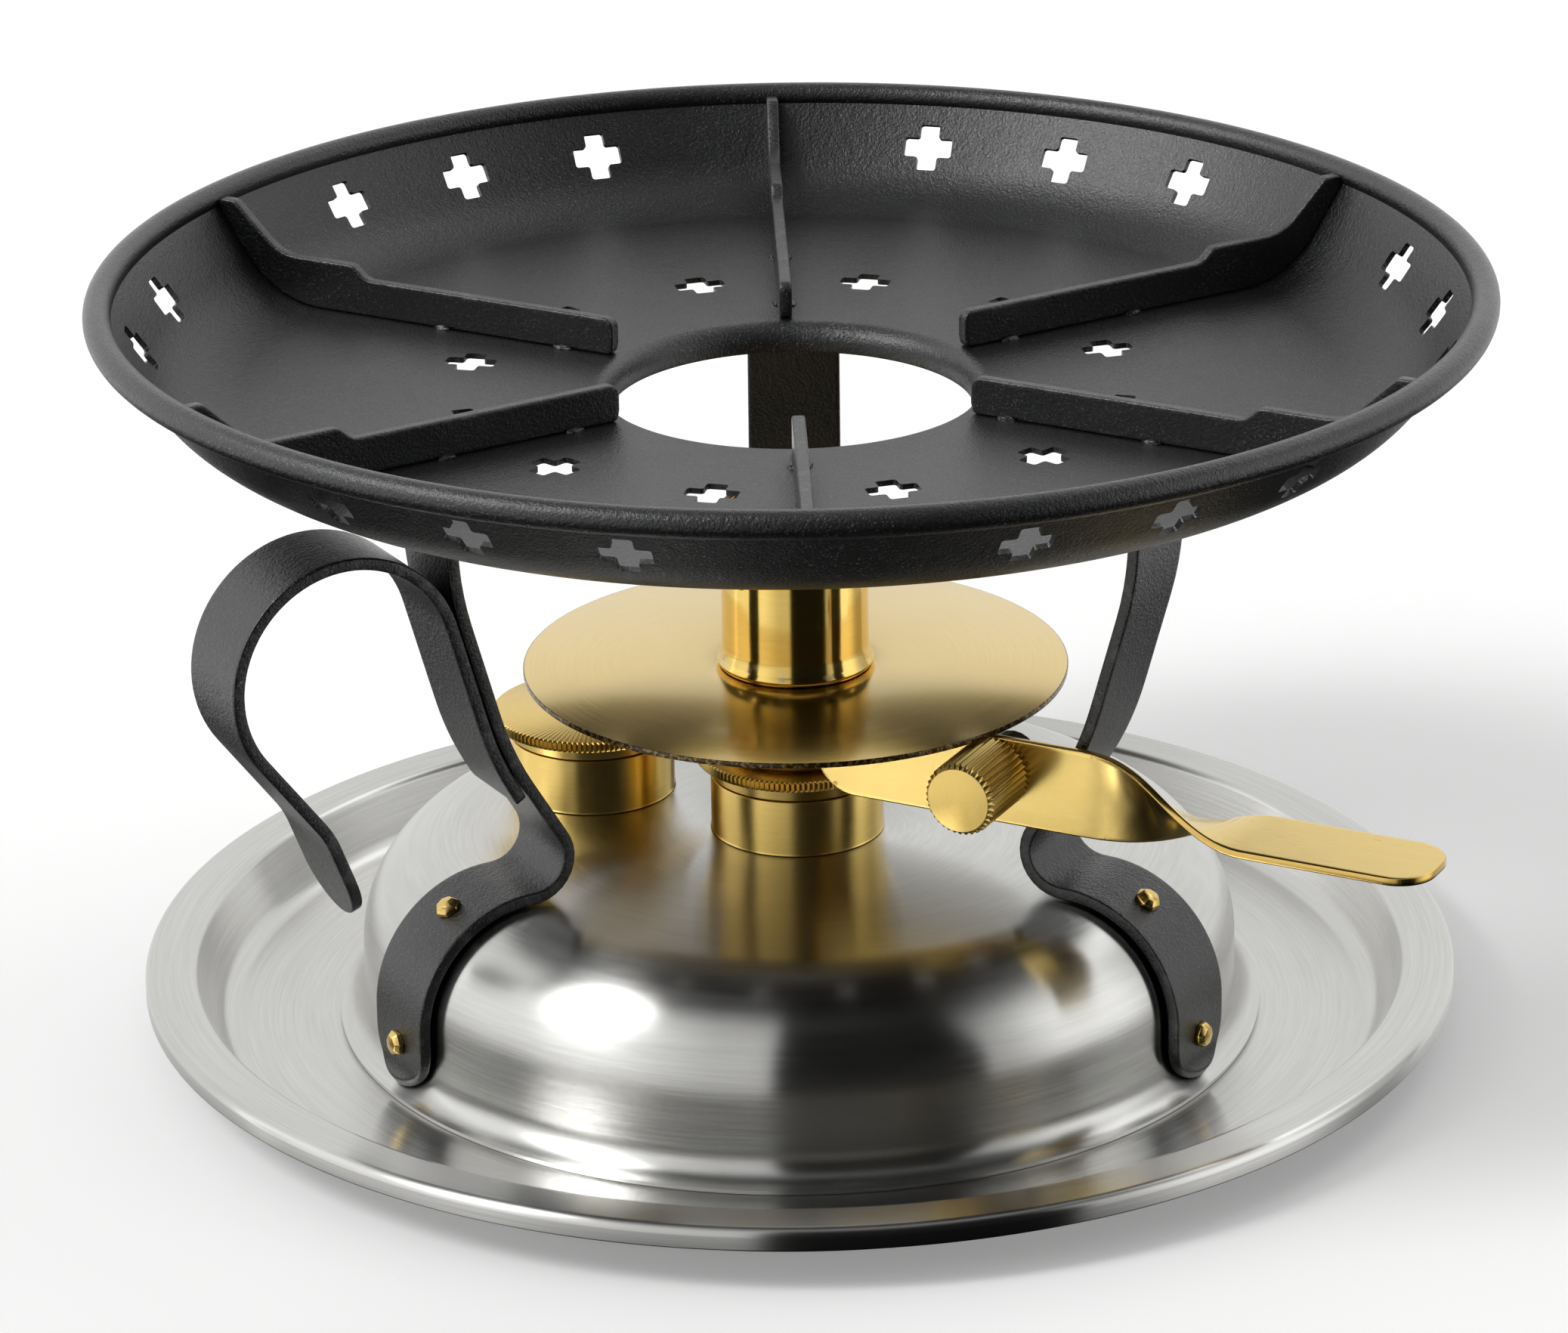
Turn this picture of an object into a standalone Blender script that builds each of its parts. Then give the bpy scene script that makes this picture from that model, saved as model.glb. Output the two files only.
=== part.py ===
"""Tabletop spirit burner stand: a stainless fuel tank on a drip tray, a brass burner with a turning flame
regulator, and a black steel pan-support dish on three strip legs. Every size below is in millimetres."""

import math

import bmesh
import bpy
from mathutils import Matrix, Vector

MM = 0.001
FIT = 0.3  # gap between pieces that touch on the real object
BIG_STEPS = 48
MID_STEPS = 32
SMALL_STEPS = 20

# Drip tray, resting on the table at z = 0
TRAY_RADIUS = 120.2
TRAY_FLANGE = 8.7
TRAY_RIM_Z = 11.8
TRAY_LIP_Z = 7.8
TRAY_FLOOR_RADIUS = 106.6
TRAY_SHEET = 0.8

# Tank dome
TANK_RADIUS = 80.1
TANK_TOP_Z = 34.8
TANK_SHOULDER = 20.0
TANK_SHEET = 0.8
TANK_BRIM_RADIUS = 84.8
TANK_FLARE = 5.5
TANK_BRIM_Z = 1.9
TANK_BASE_Z = 5.8
WADDING_RADIUS = 75.4

# Brass necks on the tank, with the joint line below their caps
NECK_Z = TANK_TOP_Z + FIT
NECK_JOINT_Z = 45.4
NECK_SPIGOT = 1.0
CAP_TOP_Z = 50.3
CAP_KNURL_RADIUS = 18.5
CAP_KNURL_HEIGHT = 2.0
BURNER_NECK_RADIUS = 15.8
FILLER_NECK_RADIUS = 15.2
FILLER_X = -38.0
FILLER_Y = 20.0

# Burner tube and flame regulator, turning about the z axis
BURNER_TUBE_RADIUS = 11.3
BURNER_BORE = 10.3
BURNER_TUBE_TOP_Z = 95.0
SLEEVE_BORE = 11.7
SLEEVE_RADIUS = 13.3
SLEEVE_FLARE = 14.4
SLEEVE_TOP_Z = 97.0
PORT_Z = 87.0
PORT_HEIGHT = 6.0
PORT_WIDTH = 8.0
HUB_RADIUS = 14.8
DISC_RADIUS = 49.4
DISC_TOP_Z = 66.8
DISC_SHEET = 1.0

# Regulator lever: a brass strip on edge that twists flat into a finger paddle
LEVER_AZIMUTH = math.radians(-26.8)
LEVER_OFFSET = 14.0
LEVER_WIDTH = 16.3
LEVER_SHEET = 1.5
LEVER_MID_Z = 57.2
LEVER_INNER = 11.0
LEVER_TWIST_FROM = 63.0
LEVER_TWIST_TO = 97.0
LEVER_END = 130.5
PADDLE_WIDTH = 17.5
PADDLE_MID_Z = 54.8
PADDLE_CORNER = 7.0

# Thumb screw that clamps the lever to its bracket
SCREW_X = 46.8
SCREW_Z = 58.8
SCREW_HEAD_RADIUS = 6.7
SCREW_HEAD_LENGTH = 15.0
SCREW_SHANK_RADIUS = 2.0
SCREW_HOLE_RADIUS = 2.3
NUT_RADIUS = 4.8
NUT_LENGTH = 5.0
BRACKET_SHEET = 1.5

# Pan-support dish
DISH_RADIUS = 125.0
DISH_BEAD = 2.5
DISH_RIM_Z = 140.3
DISH_FLOOR_Z = 120.0
DISH_SHEET = 1.0
DISH_FLAT_RADIUS = 98.5
DISH_CURVE = 20.0
DISH_WALL_SLOPE = 55.0
DISH_HOLE_RADIUS = 32.4
DISH_LIP_ROLL = 3.9
DISH_LIP_Z = 114.8
DISH_TURN = math.radians(1.8)
CROSS_SPAN = 9.3
CROSS_ARM = 3.8
FLOOR_CROSS_RADIUS = 59.5
WALL_CROSS_RISE = 2.0
WALL_CROSS_TURN = math.radians(31.1)
WALL_CROSS_SPACING = math.radians(13.8)

# Ribs that carry the pan
RIB_COUNT = 6
RIB_SHEET = 2.3
RIB_INNER = 36.1
RIB_TOP_Z = 126.8
RIB_STEP_Z = 129.3
RIB_STEP_RADIUS = 88.5
RIB_TIP_Z = 138.4

# Strip legs and handle
STRIP_WIDTH = 17.5
STRIP_SHEET = 2.2
LEG_AZIMUTHS = {"back": 90.0, "left": 210.0, "right": 330.0}
LEG_LOWER_LEAN = 31.0
LEG_UPPER_LEAN = 15.8
LEG_BEND = (46.3, 36.2)
LEG_KNEE = (63.3, 64.5)
LEG_SHOULDER = (72.8, 98.0)
LEG_FLANGE_END = 87.0
HANDLE_START_Z = 56.5
HANDLE_LOOP_RADIUS = 20.9
HANDLE_LOOP_Z = 85.2
HANDLE_RETURN = (98.2, 56.6)
HANDLE_TIP = (91.6, 39.0)

# Rivets that hold the legs to the tank
RIVET_HEAD_RADIUS = 2.45
RIVET_HEAD_HEIGHT = 1.7
RIVET_TAIL_RADIUS = 2.1
RIVET_SHANK_RADIUS = 1.2
RIVET_HOLE_RADIUS = 1.5
RIVET_LOW_Z = 10.6
RIVET_HIGH_ANGLE = math.radians(59.0)


# ---------------------------------------------------------------- materials


def material(name, colour, roughness, metallic):
    made = bpy.data.materials.new(name)
    made.use_nodes = True
    shader = made.node_tree.nodes["Principled BSDF"]
    shader.inputs["Base Color"].default_value = (*colour, 1.0)
    shader.inputs["Roughness"].default_value = roughness
    shader.inputs["Metallic"].default_value = metallic
    return made


# ---------------------------------------------------------------- outlines


def arc(centre, radius, start, end, steps):
    """Points on a circle, from one angle to the other in degrees, both ends included."""
    points = []
    for i in range(steps + 1):
        angle = math.radians(start + (end - start) * i / steps)
        points.append((centre[0] + radius * math.cos(angle), centre[1] + radius * math.sin(angle)))
    return points


def rounded(corners, step=10.0):
    """A path through corners given as (x, y, fillet radius), each corner turned into an arc."""
    path = [corners[0][:2]]
    for before, corner, after in zip(corners, corners[1:], corners[2:]):
        here = Vector(corner[:2])
        back = (Vector(before[:2]) - here).normalized()
        ahead = (Vector(after[:2]) - here).normalized()
        half = back.angle(ahead) / 2
        centre = here + (back + ahead).normalized() * (corner[2] / math.sin(half))
        tangent = corner[2] / math.tan(half)
        start = here + back * tangent - centre
        turn = math.pi - 2 * half
        if back.cross(ahead) > 0:
            turn = -turn
        count = max(2, round(abs(math.degrees(turn)) / step))
        for i in range(count + 1):
            spoke = start.copy()
            spoke.rotate(Matrix.Rotation(turn * i / count, 2))
            path.append(tuple(centre + spoke))
    path.append(corners[-1][:2])
    return path


def beside(point, lean, gap):
    """A point moved outwards, square off a line that leans outwards from the vertical by lean degrees."""
    angle = math.radians(lean)
    return (point[0] + gap * math.cos(angle), point[1] - gap * math.sin(angle))


# ---------------------------------------------------------------- mesh makers


def object_from(bm, name, look, parent=None):
    """Closes off a bmesh as a smooth-shaded object."""
    bmesh.ops.remove_doubles(bm, verts=bm.verts, dist=1e-7)
    bmesh.ops.recalc_face_normals(bm, faces=bm.faces)
    mesh = bpy.data.meshes.new(name)
    bm.to_mesh(mesh)
    bm.free()
    mesh.shade_smooth()
    mesh.set_sharp_from_angle(angle=math.radians(35))
    if look:
        mesh.materials.append(look)
    made = bpy.data.objects.new(name, mesh)
    made.parent = parent
    bpy.context.scene.collection.objects.link(made)
    return made


def turned(name, outline, look, steps, closed=True, parent=None):
    """A piece turned about z from (radius, z) points; an open outline starts and ends on the axis."""
    bm = bmesh.new()
    verts = [bm.verts.new((r * MM, 0, z * MM)) for r, z in outline]
    edges = [bm.edges.new(pair) for pair in zip(verts, verts[1:])]
    if closed:
        edges.append(bm.edges.new((verts[-1], verts[0])))
    bmesh.ops.spin(bm, geom=verts + edges, axis=(0, 0, 1), angle=math.tau, steps=steps, use_merge=True)
    return object_from(bm, name, look, parent)


def extruded(bm, outline, place, low, high):
    """A prism on a flat (x, y) outline, from z = low to high, put in place by a matrix given in millimetres."""
    to_metres = Matrix.Scale(MM, 4)
    face = bm.faces.new([bm.verts.new(to_metres @ place @ Vector((x, y, low))) for x, y in outline])
    made = bmesh.ops.extrude_face_region(bm, geom=[face])["geom"]
    moved = [item for item in made if isinstance(item, bmesh.types.BMVert)]
    rise = (place.to_3x3() @ Vector((0, 0, high - low))) * MM
    bmesh.ops.translate(bm, vec=rise, verts=moved)


def plate(name, outline, look, place, low, high, parent=None):
    bm = bmesh.new()
    extruded(bm, outline, place, low, high)
    return object_from(bm, name, look, parent)


def strip(name, stations, sheet, look, parent=None):
    """A flat strip swept through (centre, width direction, face direction, half width) stations."""
    bm = bmesh.new()
    sections = []
    for centre, across, out, half in stations:
        ring = []
        for side, face in ((1, 1), (-1, 1), (-1, -1), (1, -1)):
            ring.append(bm.verts.new((centre + across * side * half + out * face * sheet / 2) * MM))
        sections.append(ring)
    for before, after in zip(sections, sections[1:]):
        for i in range(4):
            j = (i + 1) % 4
            bm.faces.new((before[i], before[j], after[j], after[i]))
    bm.faces.new(sections[0][::-1])
    bm.faces.new(sections[-1])
    return object_from(bm, name, look, parent)


def back_from_end(points, distance):
    """The point that lies a distance before the end of a path, measured along it."""
    for before, after in zip(points[-2::-1], points[::-1]):
        length = (after - before).length
        if distance <= length:
            return after.lerp(before, distance / length)
        distance -= length
    return points[0]


def radial_stations(path, width, round_steps=6):
    """Stations of a strip bent along an (x, z) path, its far end cut to a half circle."""
    points = [Vector((x, 0, z)) for x, z in path]
    radius = width / 2
    lengths = [(after - before).length for before, after in zip(points, points[1:])]
    centres = [point for i, point in enumerate(points) if sum(lengths[i:]) > radius + 0.2]
    halves = [radius] * len(centres)
    for i in range(round_steps + 1):
        angle = math.radians(84 * i / round_steps)
        centres.append(back_from_end(points, radius * (1 - math.sin(angle) / math.sin(math.radians(84)))))
        halves.append(radius * math.cos(angle))
    stations = []
    for i, (centre, half) in enumerate(zip(centres, halves)):
        ahead = centres[min(i + 1, len(centres) - 1)] - centres[max(i - 1, 0)]
        out = ahead.normalized().cross(Vector((0, 1, 0)))
        stations.append((centre, Vector((0, 1, 0)), out, half))
    return stations


def cutter(bm, name):
    """A hidden helper that a Boolean uses."""
    made = object_from(bm, name, None)
    made.hide_render = True
    made.display_type = "WIRE"
    return made


def boolean(target, tool, operation="DIFFERENCE"):
    modifier = target.modifiers.new(operation.title(), "BOOLEAN")
    modifier.operation = operation
    modifier.object = tool


def drill(bm, place, radius, length, steps=SMALL_STEPS):
    """A cylinder along the local z of a matrix in millimetres, centred on it."""
    to_metres = Matrix.Translation(place.translation * MM) @ place.to_3x3().to_4x4()
    bmesh.ops.create_cone(bm, cap_ends=True, segments=steps, radius1=radius * MM, radius2=radius * MM,
                          depth=length * MM, matrix=to_metres)


def turn_z(angle):
    return Matrix.Rotation(angle, 4, "Z")


# ---------------------------------------------------------------- tray and tank


def make_tray(steel):
    sheet = TRAY_SHEET
    inner = TRAY_RADIUS - TRAY_FLANGE
    under = rounded([
        (0.0, 0.0, 0),
        (TRAY_FLOOR_RADIUS, 0.0, 4.8),
        (inner, TRAY_RIM_Z - sheet, 1.2),
        (TRAY_RADIUS - sheet, TRAY_RIM_Z - sheet, 0.8),
        (TRAY_RADIUS - sheet, TRAY_LIP_Z, 0),
    ], step=40)
    top = rounded([
        (TRAY_RADIUS, TRAY_LIP_Z, 0),
        (TRAY_RADIUS, TRAY_RIM_Z, 1.6),
        (inner - 0.5, TRAY_RIM_Z, 2.0),
        (TRAY_FLOOR_RADIUS - 0.5, sheet, 4.0),
        (0.0, sheet, 0),
    ], step=40)
    return turned("drip_tray", under + top, steel, BIG_STEPS, closed=False)


def make_tank(steel, wadding, cutters):
    shoulder = (TANK_RADIUS - TANK_SHOULDER, TANK_TOP_Z - TANK_SHOULDER)
    foot = (TANK_RADIUS + TANK_FLARE, TANK_BRIM_Z + TANK_FLARE)
    foot_end = 180 + math.degrees(math.acos((foot[0] - TANK_BRIM_RADIUS) / TANK_FLARE))
    sheet = TANK_SHEET
    outer = [(0.0, TANK_TOP_Z)] + arc(shoulder, TANK_SHOULDER, 90, 0, 6) + arc(foot, TANK_FLARE, 180, foot_end, 3)
    inner = arc(foot, TANK_FLARE + sheet, foot_end, 180, 3) + arc(shoulder, TANK_SHOULDER - sheet, 0, 90, 6)
    inner.append((0.0, TANK_TOP_Z - sheet))
    dome = turned("tank_dome", outer + inner, steel, BIG_STEPS, closed=False)
    boolean(dome, cutters)

    skirt = TANK_RADIUS - sheet - FIT
    low = TRAY_SHEET + 2 * FIT
    turned("tank_bottom", [
        (0.0, TANK_BASE_Z - sheet),
        (skirt - sheet, TANK_BASE_Z - sheet),
        (skirt - sheet, low),
        (skirt, low),
        (skirt, TANK_BASE_Z),
        (0.0, TANK_BASE_Z),
    ], steel, BIG_STEPS, closed=False)

    hole = BURNER_TUBE_RADIUS + 2.7
    turned("fuel_wadding", [
        (hole, TANK_BASE_Z + 0.6),
        (WADDING_RADIUS, TANK_BASE_Z + 0.6),
        (WADDING_RADIUS, 15.5),
        (68.0, 26.5),
        (60.0, 29.0),
        (hole, 29.0),
    ], wadding, MID_STEPS)


# ---------------------------------------------------------------- necks and their caps


def neck_outline(radius, spigot_radius, bore):
    """A brass neck soldered in the tank top: a sleeve below the sheet, the body, and a threaded spigot."""
    sleeve = bore + 1.0
    return [
        (bore, TANK_TOP_Z - 3.5),
        (sleeve, TANK_TOP_Z - 3.5),
        (sleeve, NECK_Z),
        (radius, NECK_Z),
        (radius, NECK_JOINT_Z),
        (spigot_radius, NECK_JOINT_Z),
        (spigot_radius, NECK_JOINT_Z + NECK_SPIGOT),
        (bore, NECK_JOINT_Z + NECK_SPIGOT),
    ]


def make_burner_neck(brass, rubber):
    radius = BURNER_NECK_RADIUS
    wall = 1.2
    clamp = BURNER_TUBE_RADIUS + 1.3
    spigot_top = NECK_JOINT_Z + NECK_SPIGOT
    turned("burner_neck", neck_outline(radius, radius - wall - FIT, BURNER_TUBE_RADIUS + FIT), brass, MID_STEPS)
    turned("burner_gasket", [
        (BURNER_TUBE_RADIUS + FIT, spigot_top + FIT),
        (radius - wall - FIT, spigot_top + FIT),
        (radius - wall - FIT, spigot_top + 1.1),
        (BURNER_TUBE_RADIUS + FIT, spigot_top + 1.1),
    ], rubber, SMALL_STEPS)
    turned("burner_collar", [
        (radius - wall, NECK_JOINT_Z + FIT),
        (radius, NECK_JOINT_Z + FIT),
        (radius, CAP_TOP_Z - CAP_KNURL_HEIGHT),
        (CAP_KNURL_RADIUS, CAP_TOP_Z - CAP_KNURL_HEIGHT),
        (CAP_KNURL_RADIUS, CAP_TOP_Z),
        (clamp, CAP_TOP_Z),
        (clamp, CAP_TOP_Z - 1.2),
        (radius - wall, CAP_TOP_Z - 1.2),
    ], brass, MID_STEPS)


def make_filler(brass, rubber):
    radius = FILLER_NECK_RADIUS
    wall = 1.2
    bore = radius - 4.0
    spigot_top = NECK_JOINT_Z + NECK_SPIGOT
    place = Vector((FILLER_X, FILLER_Y, 0)) * MM
    neck = turned("filler_neck", neck_outline(radius, radius - wall - FIT, bore), brass, MID_STEPS)
    seal = turned("filler_seal", [
        (0.0, spigot_top + FIT),
        (radius - wall - FIT, spigot_top + FIT),
        (radius - wall - FIT, spigot_top + 1.5),
        (0.0, spigot_top + 1.5),
    ], rubber, SMALL_STEPS, closed=False)
    cap = turned("filler_cap", [
        (0.0, spigot_top + 1.5 + FIT),
        (radius - wall, spigot_top + 1.5 + FIT),
        (radius - wall, NECK_JOINT_Z + FIT),
        (radius, NECK_JOINT_Z + FIT),
        (radius, CAP_TOP_Z - CAP_KNURL_HEIGHT),
        (CAP_KNURL_RADIUS, CAP_TOP_Z - CAP_KNURL_HEIGHT),
        (CAP_KNURL_RADIUS, CAP_TOP_Z),
        (0.0, CAP_TOP_Z),
    ], brass, MID_STEPS, closed=False)
    for piece in (neck, seal, cap):
        piece.location = place


# ---------------------------------------------------------------- burner


def port_cutters(name, turn):
    """Three blocks, a third of a turn apart, that cut the flame ports through a tube wall."""
    bm = bmesh.new()
    half_width = PORT_WIDTH / 2
    half_height = PORT_HEIGHT / 2
    window = [(-half_width, -half_height), (half_width, -half_height),
              (half_width, half_height), (-half_width, half_height)]
    for i in range(3):
        place = turn_z(turn + math.tau * i / 3) @ Matrix.Translation((0, 0, PORT_Z))
        place = place @ Matrix.Rotation(math.pi / 2, 4, "X") @ Matrix.Rotation(math.pi / 2, 4, "Y")
        extruded(bm, window, place, 5.0, 20.0)
    return cutter(bm, name)


def make_burner(polished, cotton, gauze):
    flange_z = NECK_JOINT_Z + NECK_SPIGOT + 1.4
    tube = turned("burner_tube", [
        (BURNER_BORE, 8.0),
        (BURNER_TUBE_RADIUS, 8.0),
        (BURNER_TUBE_RADIUS, flange_z),
        (BURNER_NECK_RADIUS - 1.5, flange_z),
        (BURNER_NECK_RADIUS - 1.5, flange_z + 1.0),
        (BURNER_TUBE_RADIUS, flange_z + 1.0),
        (BURNER_TUBE_RADIUS, BURNER_TUBE_TOP_Z),
        (BURNER_BORE, BURNER_TUBE_TOP_Z),
    ], polished, SMALL_STEPS)
    boolean(tube, port_cutters("tube_port_cutters", 0.0))
    turned("wick", [
        (0.0, 7.0),
        (BURNER_BORE - FIT, 7.0),
        (BURNER_BORE - FIT, PORT_Z - PORT_HEIGHT),
        (0.0, PORT_Z - PORT_HEIGHT),
    ], cotton, SMALL_STEPS, closed=False)
    turned("flame_gauze", [
        (0.0, BURNER_TUBE_TOP_Z - 2.0),
        (BURNER_BORE - FIT, BURNER_TUBE_TOP_Z - 3.0),
        (BURNER_BORE - FIT, BURNER_TUBE_TOP_Z - 2.2),
        (0.0, BURNER_TUBE_TOP_Z - 0.8),
    ], gauze, SMALL_STEPS, closed=False)


# ---------------------------------------------------------------- flame regulator


def make_regulator(brass, polished, pivot):
    turned("regulator_hub", [
        (SLEEVE_BORE, CAP_TOP_Z + 0.4),
        (HUB_RADIUS - 0.8, CAP_TOP_Z + 0.4),
        (HUB_RADIUS, CAP_TOP_Z + 1.2),
        (HUB_RADIUS, DISC_TOP_Z - DISC_SHEET - FIT),
        (SLEEVE_BORE, DISC_TOP_Z - DISC_SHEET - FIT),
    ], brass, MID_STEPS, parent=pivot)
    turned("regulator_disc", [
        (SLEEVE_BORE, DISC_TOP_Z - DISC_SHEET),
        (DISC_RADIUS, DISC_TOP_Z - DISC_SHEET),
        (DISC_RADIUS, DISC_TOP_Z),
        (SLEEVE_BORE, DISC_TOP_Z),
    ], brass, BIG_STEPS, parent=pivot)
    base = DISC_TOP_Z + FIT
    sleeve = turned("regulator_sleeve", [
        (SLEEVE_BORE, base),
        (SLEEVE_FLARE - 0.4, base),
        (SLEEVE_FLARE, base + 0.8),
        (SLEEVE_FLARE - 0.3, base + 1.8),
        (SLEEVE_RADIUS, base + 3.2),
        (SLEEVE_RADIUS, SLEEVE_TOP_Z),
        (SLEEVE_BORE, SLEEVE_TOP_Z),
    ], polished, MID_STEPS, parent=pivot)
    boolean(sleeve, port_cutters("sleeve_port_cutters", 0.0))


def lever_stations():
    """Stations along local x: on edge at first, then a quarter twist, then a flat paddle."""
    half = LEVER_WIDTH / 2
    across_edge = Vector((0, 0, 1))
    towards_front = Vector((0, -1, 0))
    stations = []

    def add(x, turn, z, half_width):
        across = across_edge * math.cos(turn) + towards_front * math.sin(turn)
        out = towards_front * math.cos(turn) - across_edge * math.sin(turn)
        stations.append((Vector((x, -LEVER_OFFSET, z)), across, out, half_width))

    for i in range(7):
        angle = math.radians(7 + 83 * i / 6)
        add(LEVER_INNER + half * (1 - math.cos(angle)), 0.0, LEVER_MID_Z, half * math.sin(angle))
    add(LEVER_TWIST_FROM - 8.0, 0.0, LEVER_MID_Z, half)
    for i in range(13):
        share = i / 12
        ease = share * share * (3 - 2 * share)
        width = half + (PADDLE_WIDTH / 2 - half) * ease * 0.5
        x = LEVER_TWIST_FROM + (LEVER_TWIST_TO - LEVER_TWIST_FROM) * share
        add(x, math.pi / 2 * ease, LEVER_MID_Z + (PADDLE_MID_Z - LEVER_MID_Z) * ease, width)
    half = PADDLE_WIDTH / 2
    for i in range(6):
        angle = math.radians(90 * i / 5)
        x = LEVER_END - PADDLE_CORNER * (1 - math.sin(angle))
        add(x, math.pi / 2, PADDLE_MID_Z, half - PADDLE_CORNER * (1 - math.cos(angle)))
    return stations


def facing_front(z):
    """Local frame whose z axis points to the front of the lever (local -y), at the thumb screw's axis."""
    return Matrix.Translation((SCREW_X, 0, z)) @ Matrix.Rotation(math.pi / 2, 4, "X")


def make_lever(brass, dark, pivot):
    front = LEVER_OFFSET + LEVER_SHEET / 2
    back = LEVER_OFFSET - LEVER_SHEET / 2
    hole_maker = bmesh.new()
    screw_line = facing_front(SCREW_Z) @ Matrix.Translation((0, 0, LEVER_OFFSET))
    drill(hole_maker, screw_line, SCREW_HOLE_RADIUS, 30.0)
    hole = cutter(hole_maker, "screw_hole_cutter")
    hole.parent = pivot

    lever = strip("regulator_lever", lever_stations(), LEVER_SHEET, brass, pivot)
    boolean(lever, hole)

    bracket_front = back - FIT
    bracket_back = bracket_front - BRACKET_SHEET
    top = DISC_TOP_Z - DISC_SHEET - FIT
    drop = NUT_RADIUS + 1.2
    flange = plate("lever_bracket", [
        (SCREW_X - 12.0, -bracket_front),
        (SCREW_X - 2.5, -bracket_front),
        (SCREW_X - 2.5, -3.0),
        (SCREW_X - 12.0, -3.0),
    ], brass, Matrix.Identity(4), top - BRACKET_SHEET, top, pivot)
    outline = [(-12.0, top - SCREW_Z), (-12.0, 0.0)]
    outline += [(x, z) for x, z in arc((0, 0), drop, 205, 360, 8)]
    outline += [(drop, 2.0), (-2.5, top - SCREW_Z)]
    tab_maker = bmesh.new()
    extruded(tab_maker, outline, facing_front(SCREW_Z), bracket_back, bracket_front)
    tab = cutter(tab_maker, "bracket_tab")
    tab.parent = pivot
    boolean(flange, tab, "UNION")
    boolean(flange, hole)

    nut_front = bracket_back - FIT
    nut = turned("clamp_nut", [
        (SCREW_HOLE_RADIUS, nut_front - NUT_LENGTH),
        (NUT_RADIUS - 0.6, nut_front - NUT_LENGTH),
        (NUT_RADIUS, nut_front - NUT_LENGTH + 0.6),
        (NUT_RADIUS, nut_front),
        (SCREW_HOLE_RADIUS, nut_front),
    ], dark, SMALL_STEPS, parent=pivot)
    head_back = front + FIT
    head_front = head_back + SCREW_HEAD_LENGTH
    screw = turned("thumb_screw", [
        (0.0, nut_front - NUT_LENGTH - 1.0),
        (SCREW_SHANK_RADIUS, nut_front - NUT_LENGTH - 1.0),
        (SCREW_SHANK_RADIUS, head_back),
        (SCREW_HEAD_RADIUS - 0.7, head_back),
        (SCREW_HEAD_RADIUS, head_back + 0.7),
        (SCREW_HEAD_RADIUS, head_front - 0.9),
        (SCREW_HEAD_RADIUS - 0.9, head_front),
        (0.0, head_front),
    ], brass, MID_STEPS, closed=False, parent=pivot)
    for piece in (nut, screw):
        piece.location = Vector((SCREW_X, 0, SCREW_Z)) * MM
        piece.rotation_euler.x = math.pi / 2


# ---------------------------------------------------------------- pan-support dish


def cross_outline():
    arm = CROSS_ARM / 2
    tip = CROSS_SPAN / 2
    return [(arm, arm), (arm, tip), (-arm, tip), (-arm, arm), (-tip, arm), (-tip, -arm),
            (-arm, -arm), (-arm, -tip), (arm, -tip), (arm, -arm), (tip, -arm), (tip, arm)]


def cross_cutters():
    """Twelve crosses through the floor and eighteen through the straight part of the wall."""
    bm = bmesh.new()
    slope = math.radians(DISH_WALL_SLOPE)
    wall = Vector((DISH_FLAT_RADIUS + DISH_CURVE * math.sin(slope) + WALL_CROSS_RISE * math.cos(slope), 0,
                   DISH_FLOOR_Z - DISH_SHEET + DISH_CURVE * (1 - math.cos(slope))
                   + WALL_CROSS_RISE * math.sin(slope)))
    tilt = Matrix.Rotation(-slope, 4, "Y")
    for sector in range(RIB_COUNT):
        rib = math.radians(90 + 60 * sector) + DISH_TURN
        for side in (math.radians(15), math.radians(45)):
            place = turn_z(rib + side) @ Matrix.Translation((FLOOR_CROSS_RADIUS, 0, DISH_FLOOR_Z))
            extruded(bm, cross_outline(), place, -3.0, 3.0)
        for step in (-1, 0, 1):
            turn = turn_z(rib + WALL_CROSS_TURN + step * WALL_CROSS_SPACING)
            extruded(bm, cross_outline(), turn @ Matrix.Translation(wall) @ tilt, -3.0, 3.5)
    return cutter(bm, "cross_cutters")


def make_dish(black):
    under_z = DISH_FLOOR_Z - DISH_SHEET
    curve_centre = (DISH_FLAT_RADIUS, under_z + DISH_CURVE)
    wall_end = DISH_WALL_SLOPE - 90
    bead = (DISH_RADIUS - DISH_BEAD, DISH_RIM_Z - DISH_BEAD)
    roll_centre = (DISH_HOLE_RADIUS + DISH_LIP_ROLL, DISH_FLOOR_Z - DISH_LIP_ROLL)
    outline = [(DISH_HOLE_RADIUS, DISH_LIP_Z), (DISH_HOLE_RADIUS + DISH_SHEET, DISH_LIP_Z)]
    outline += arc(roll_centre, DISH_LIP_ROLL - DISH_SHEET, 180, 90, 3)
    outline += arc(curve_centre, DISH_CURVE, -90, wall_end, 4)
    outline += arc(bead, DISH_BEAD, -132, 202, 7)
    outline += arc(curve_centre, DISH_CURVE - DISH_SHEET, wall_end, -90, 4)
    outline += arc(roll_centre, DISH_LIP_ROLL, 90, 180, 4)
    dish = turned("support_dish", outline, black, BIG_STEPS)
    boolean(dish, cross_cutters())


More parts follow.
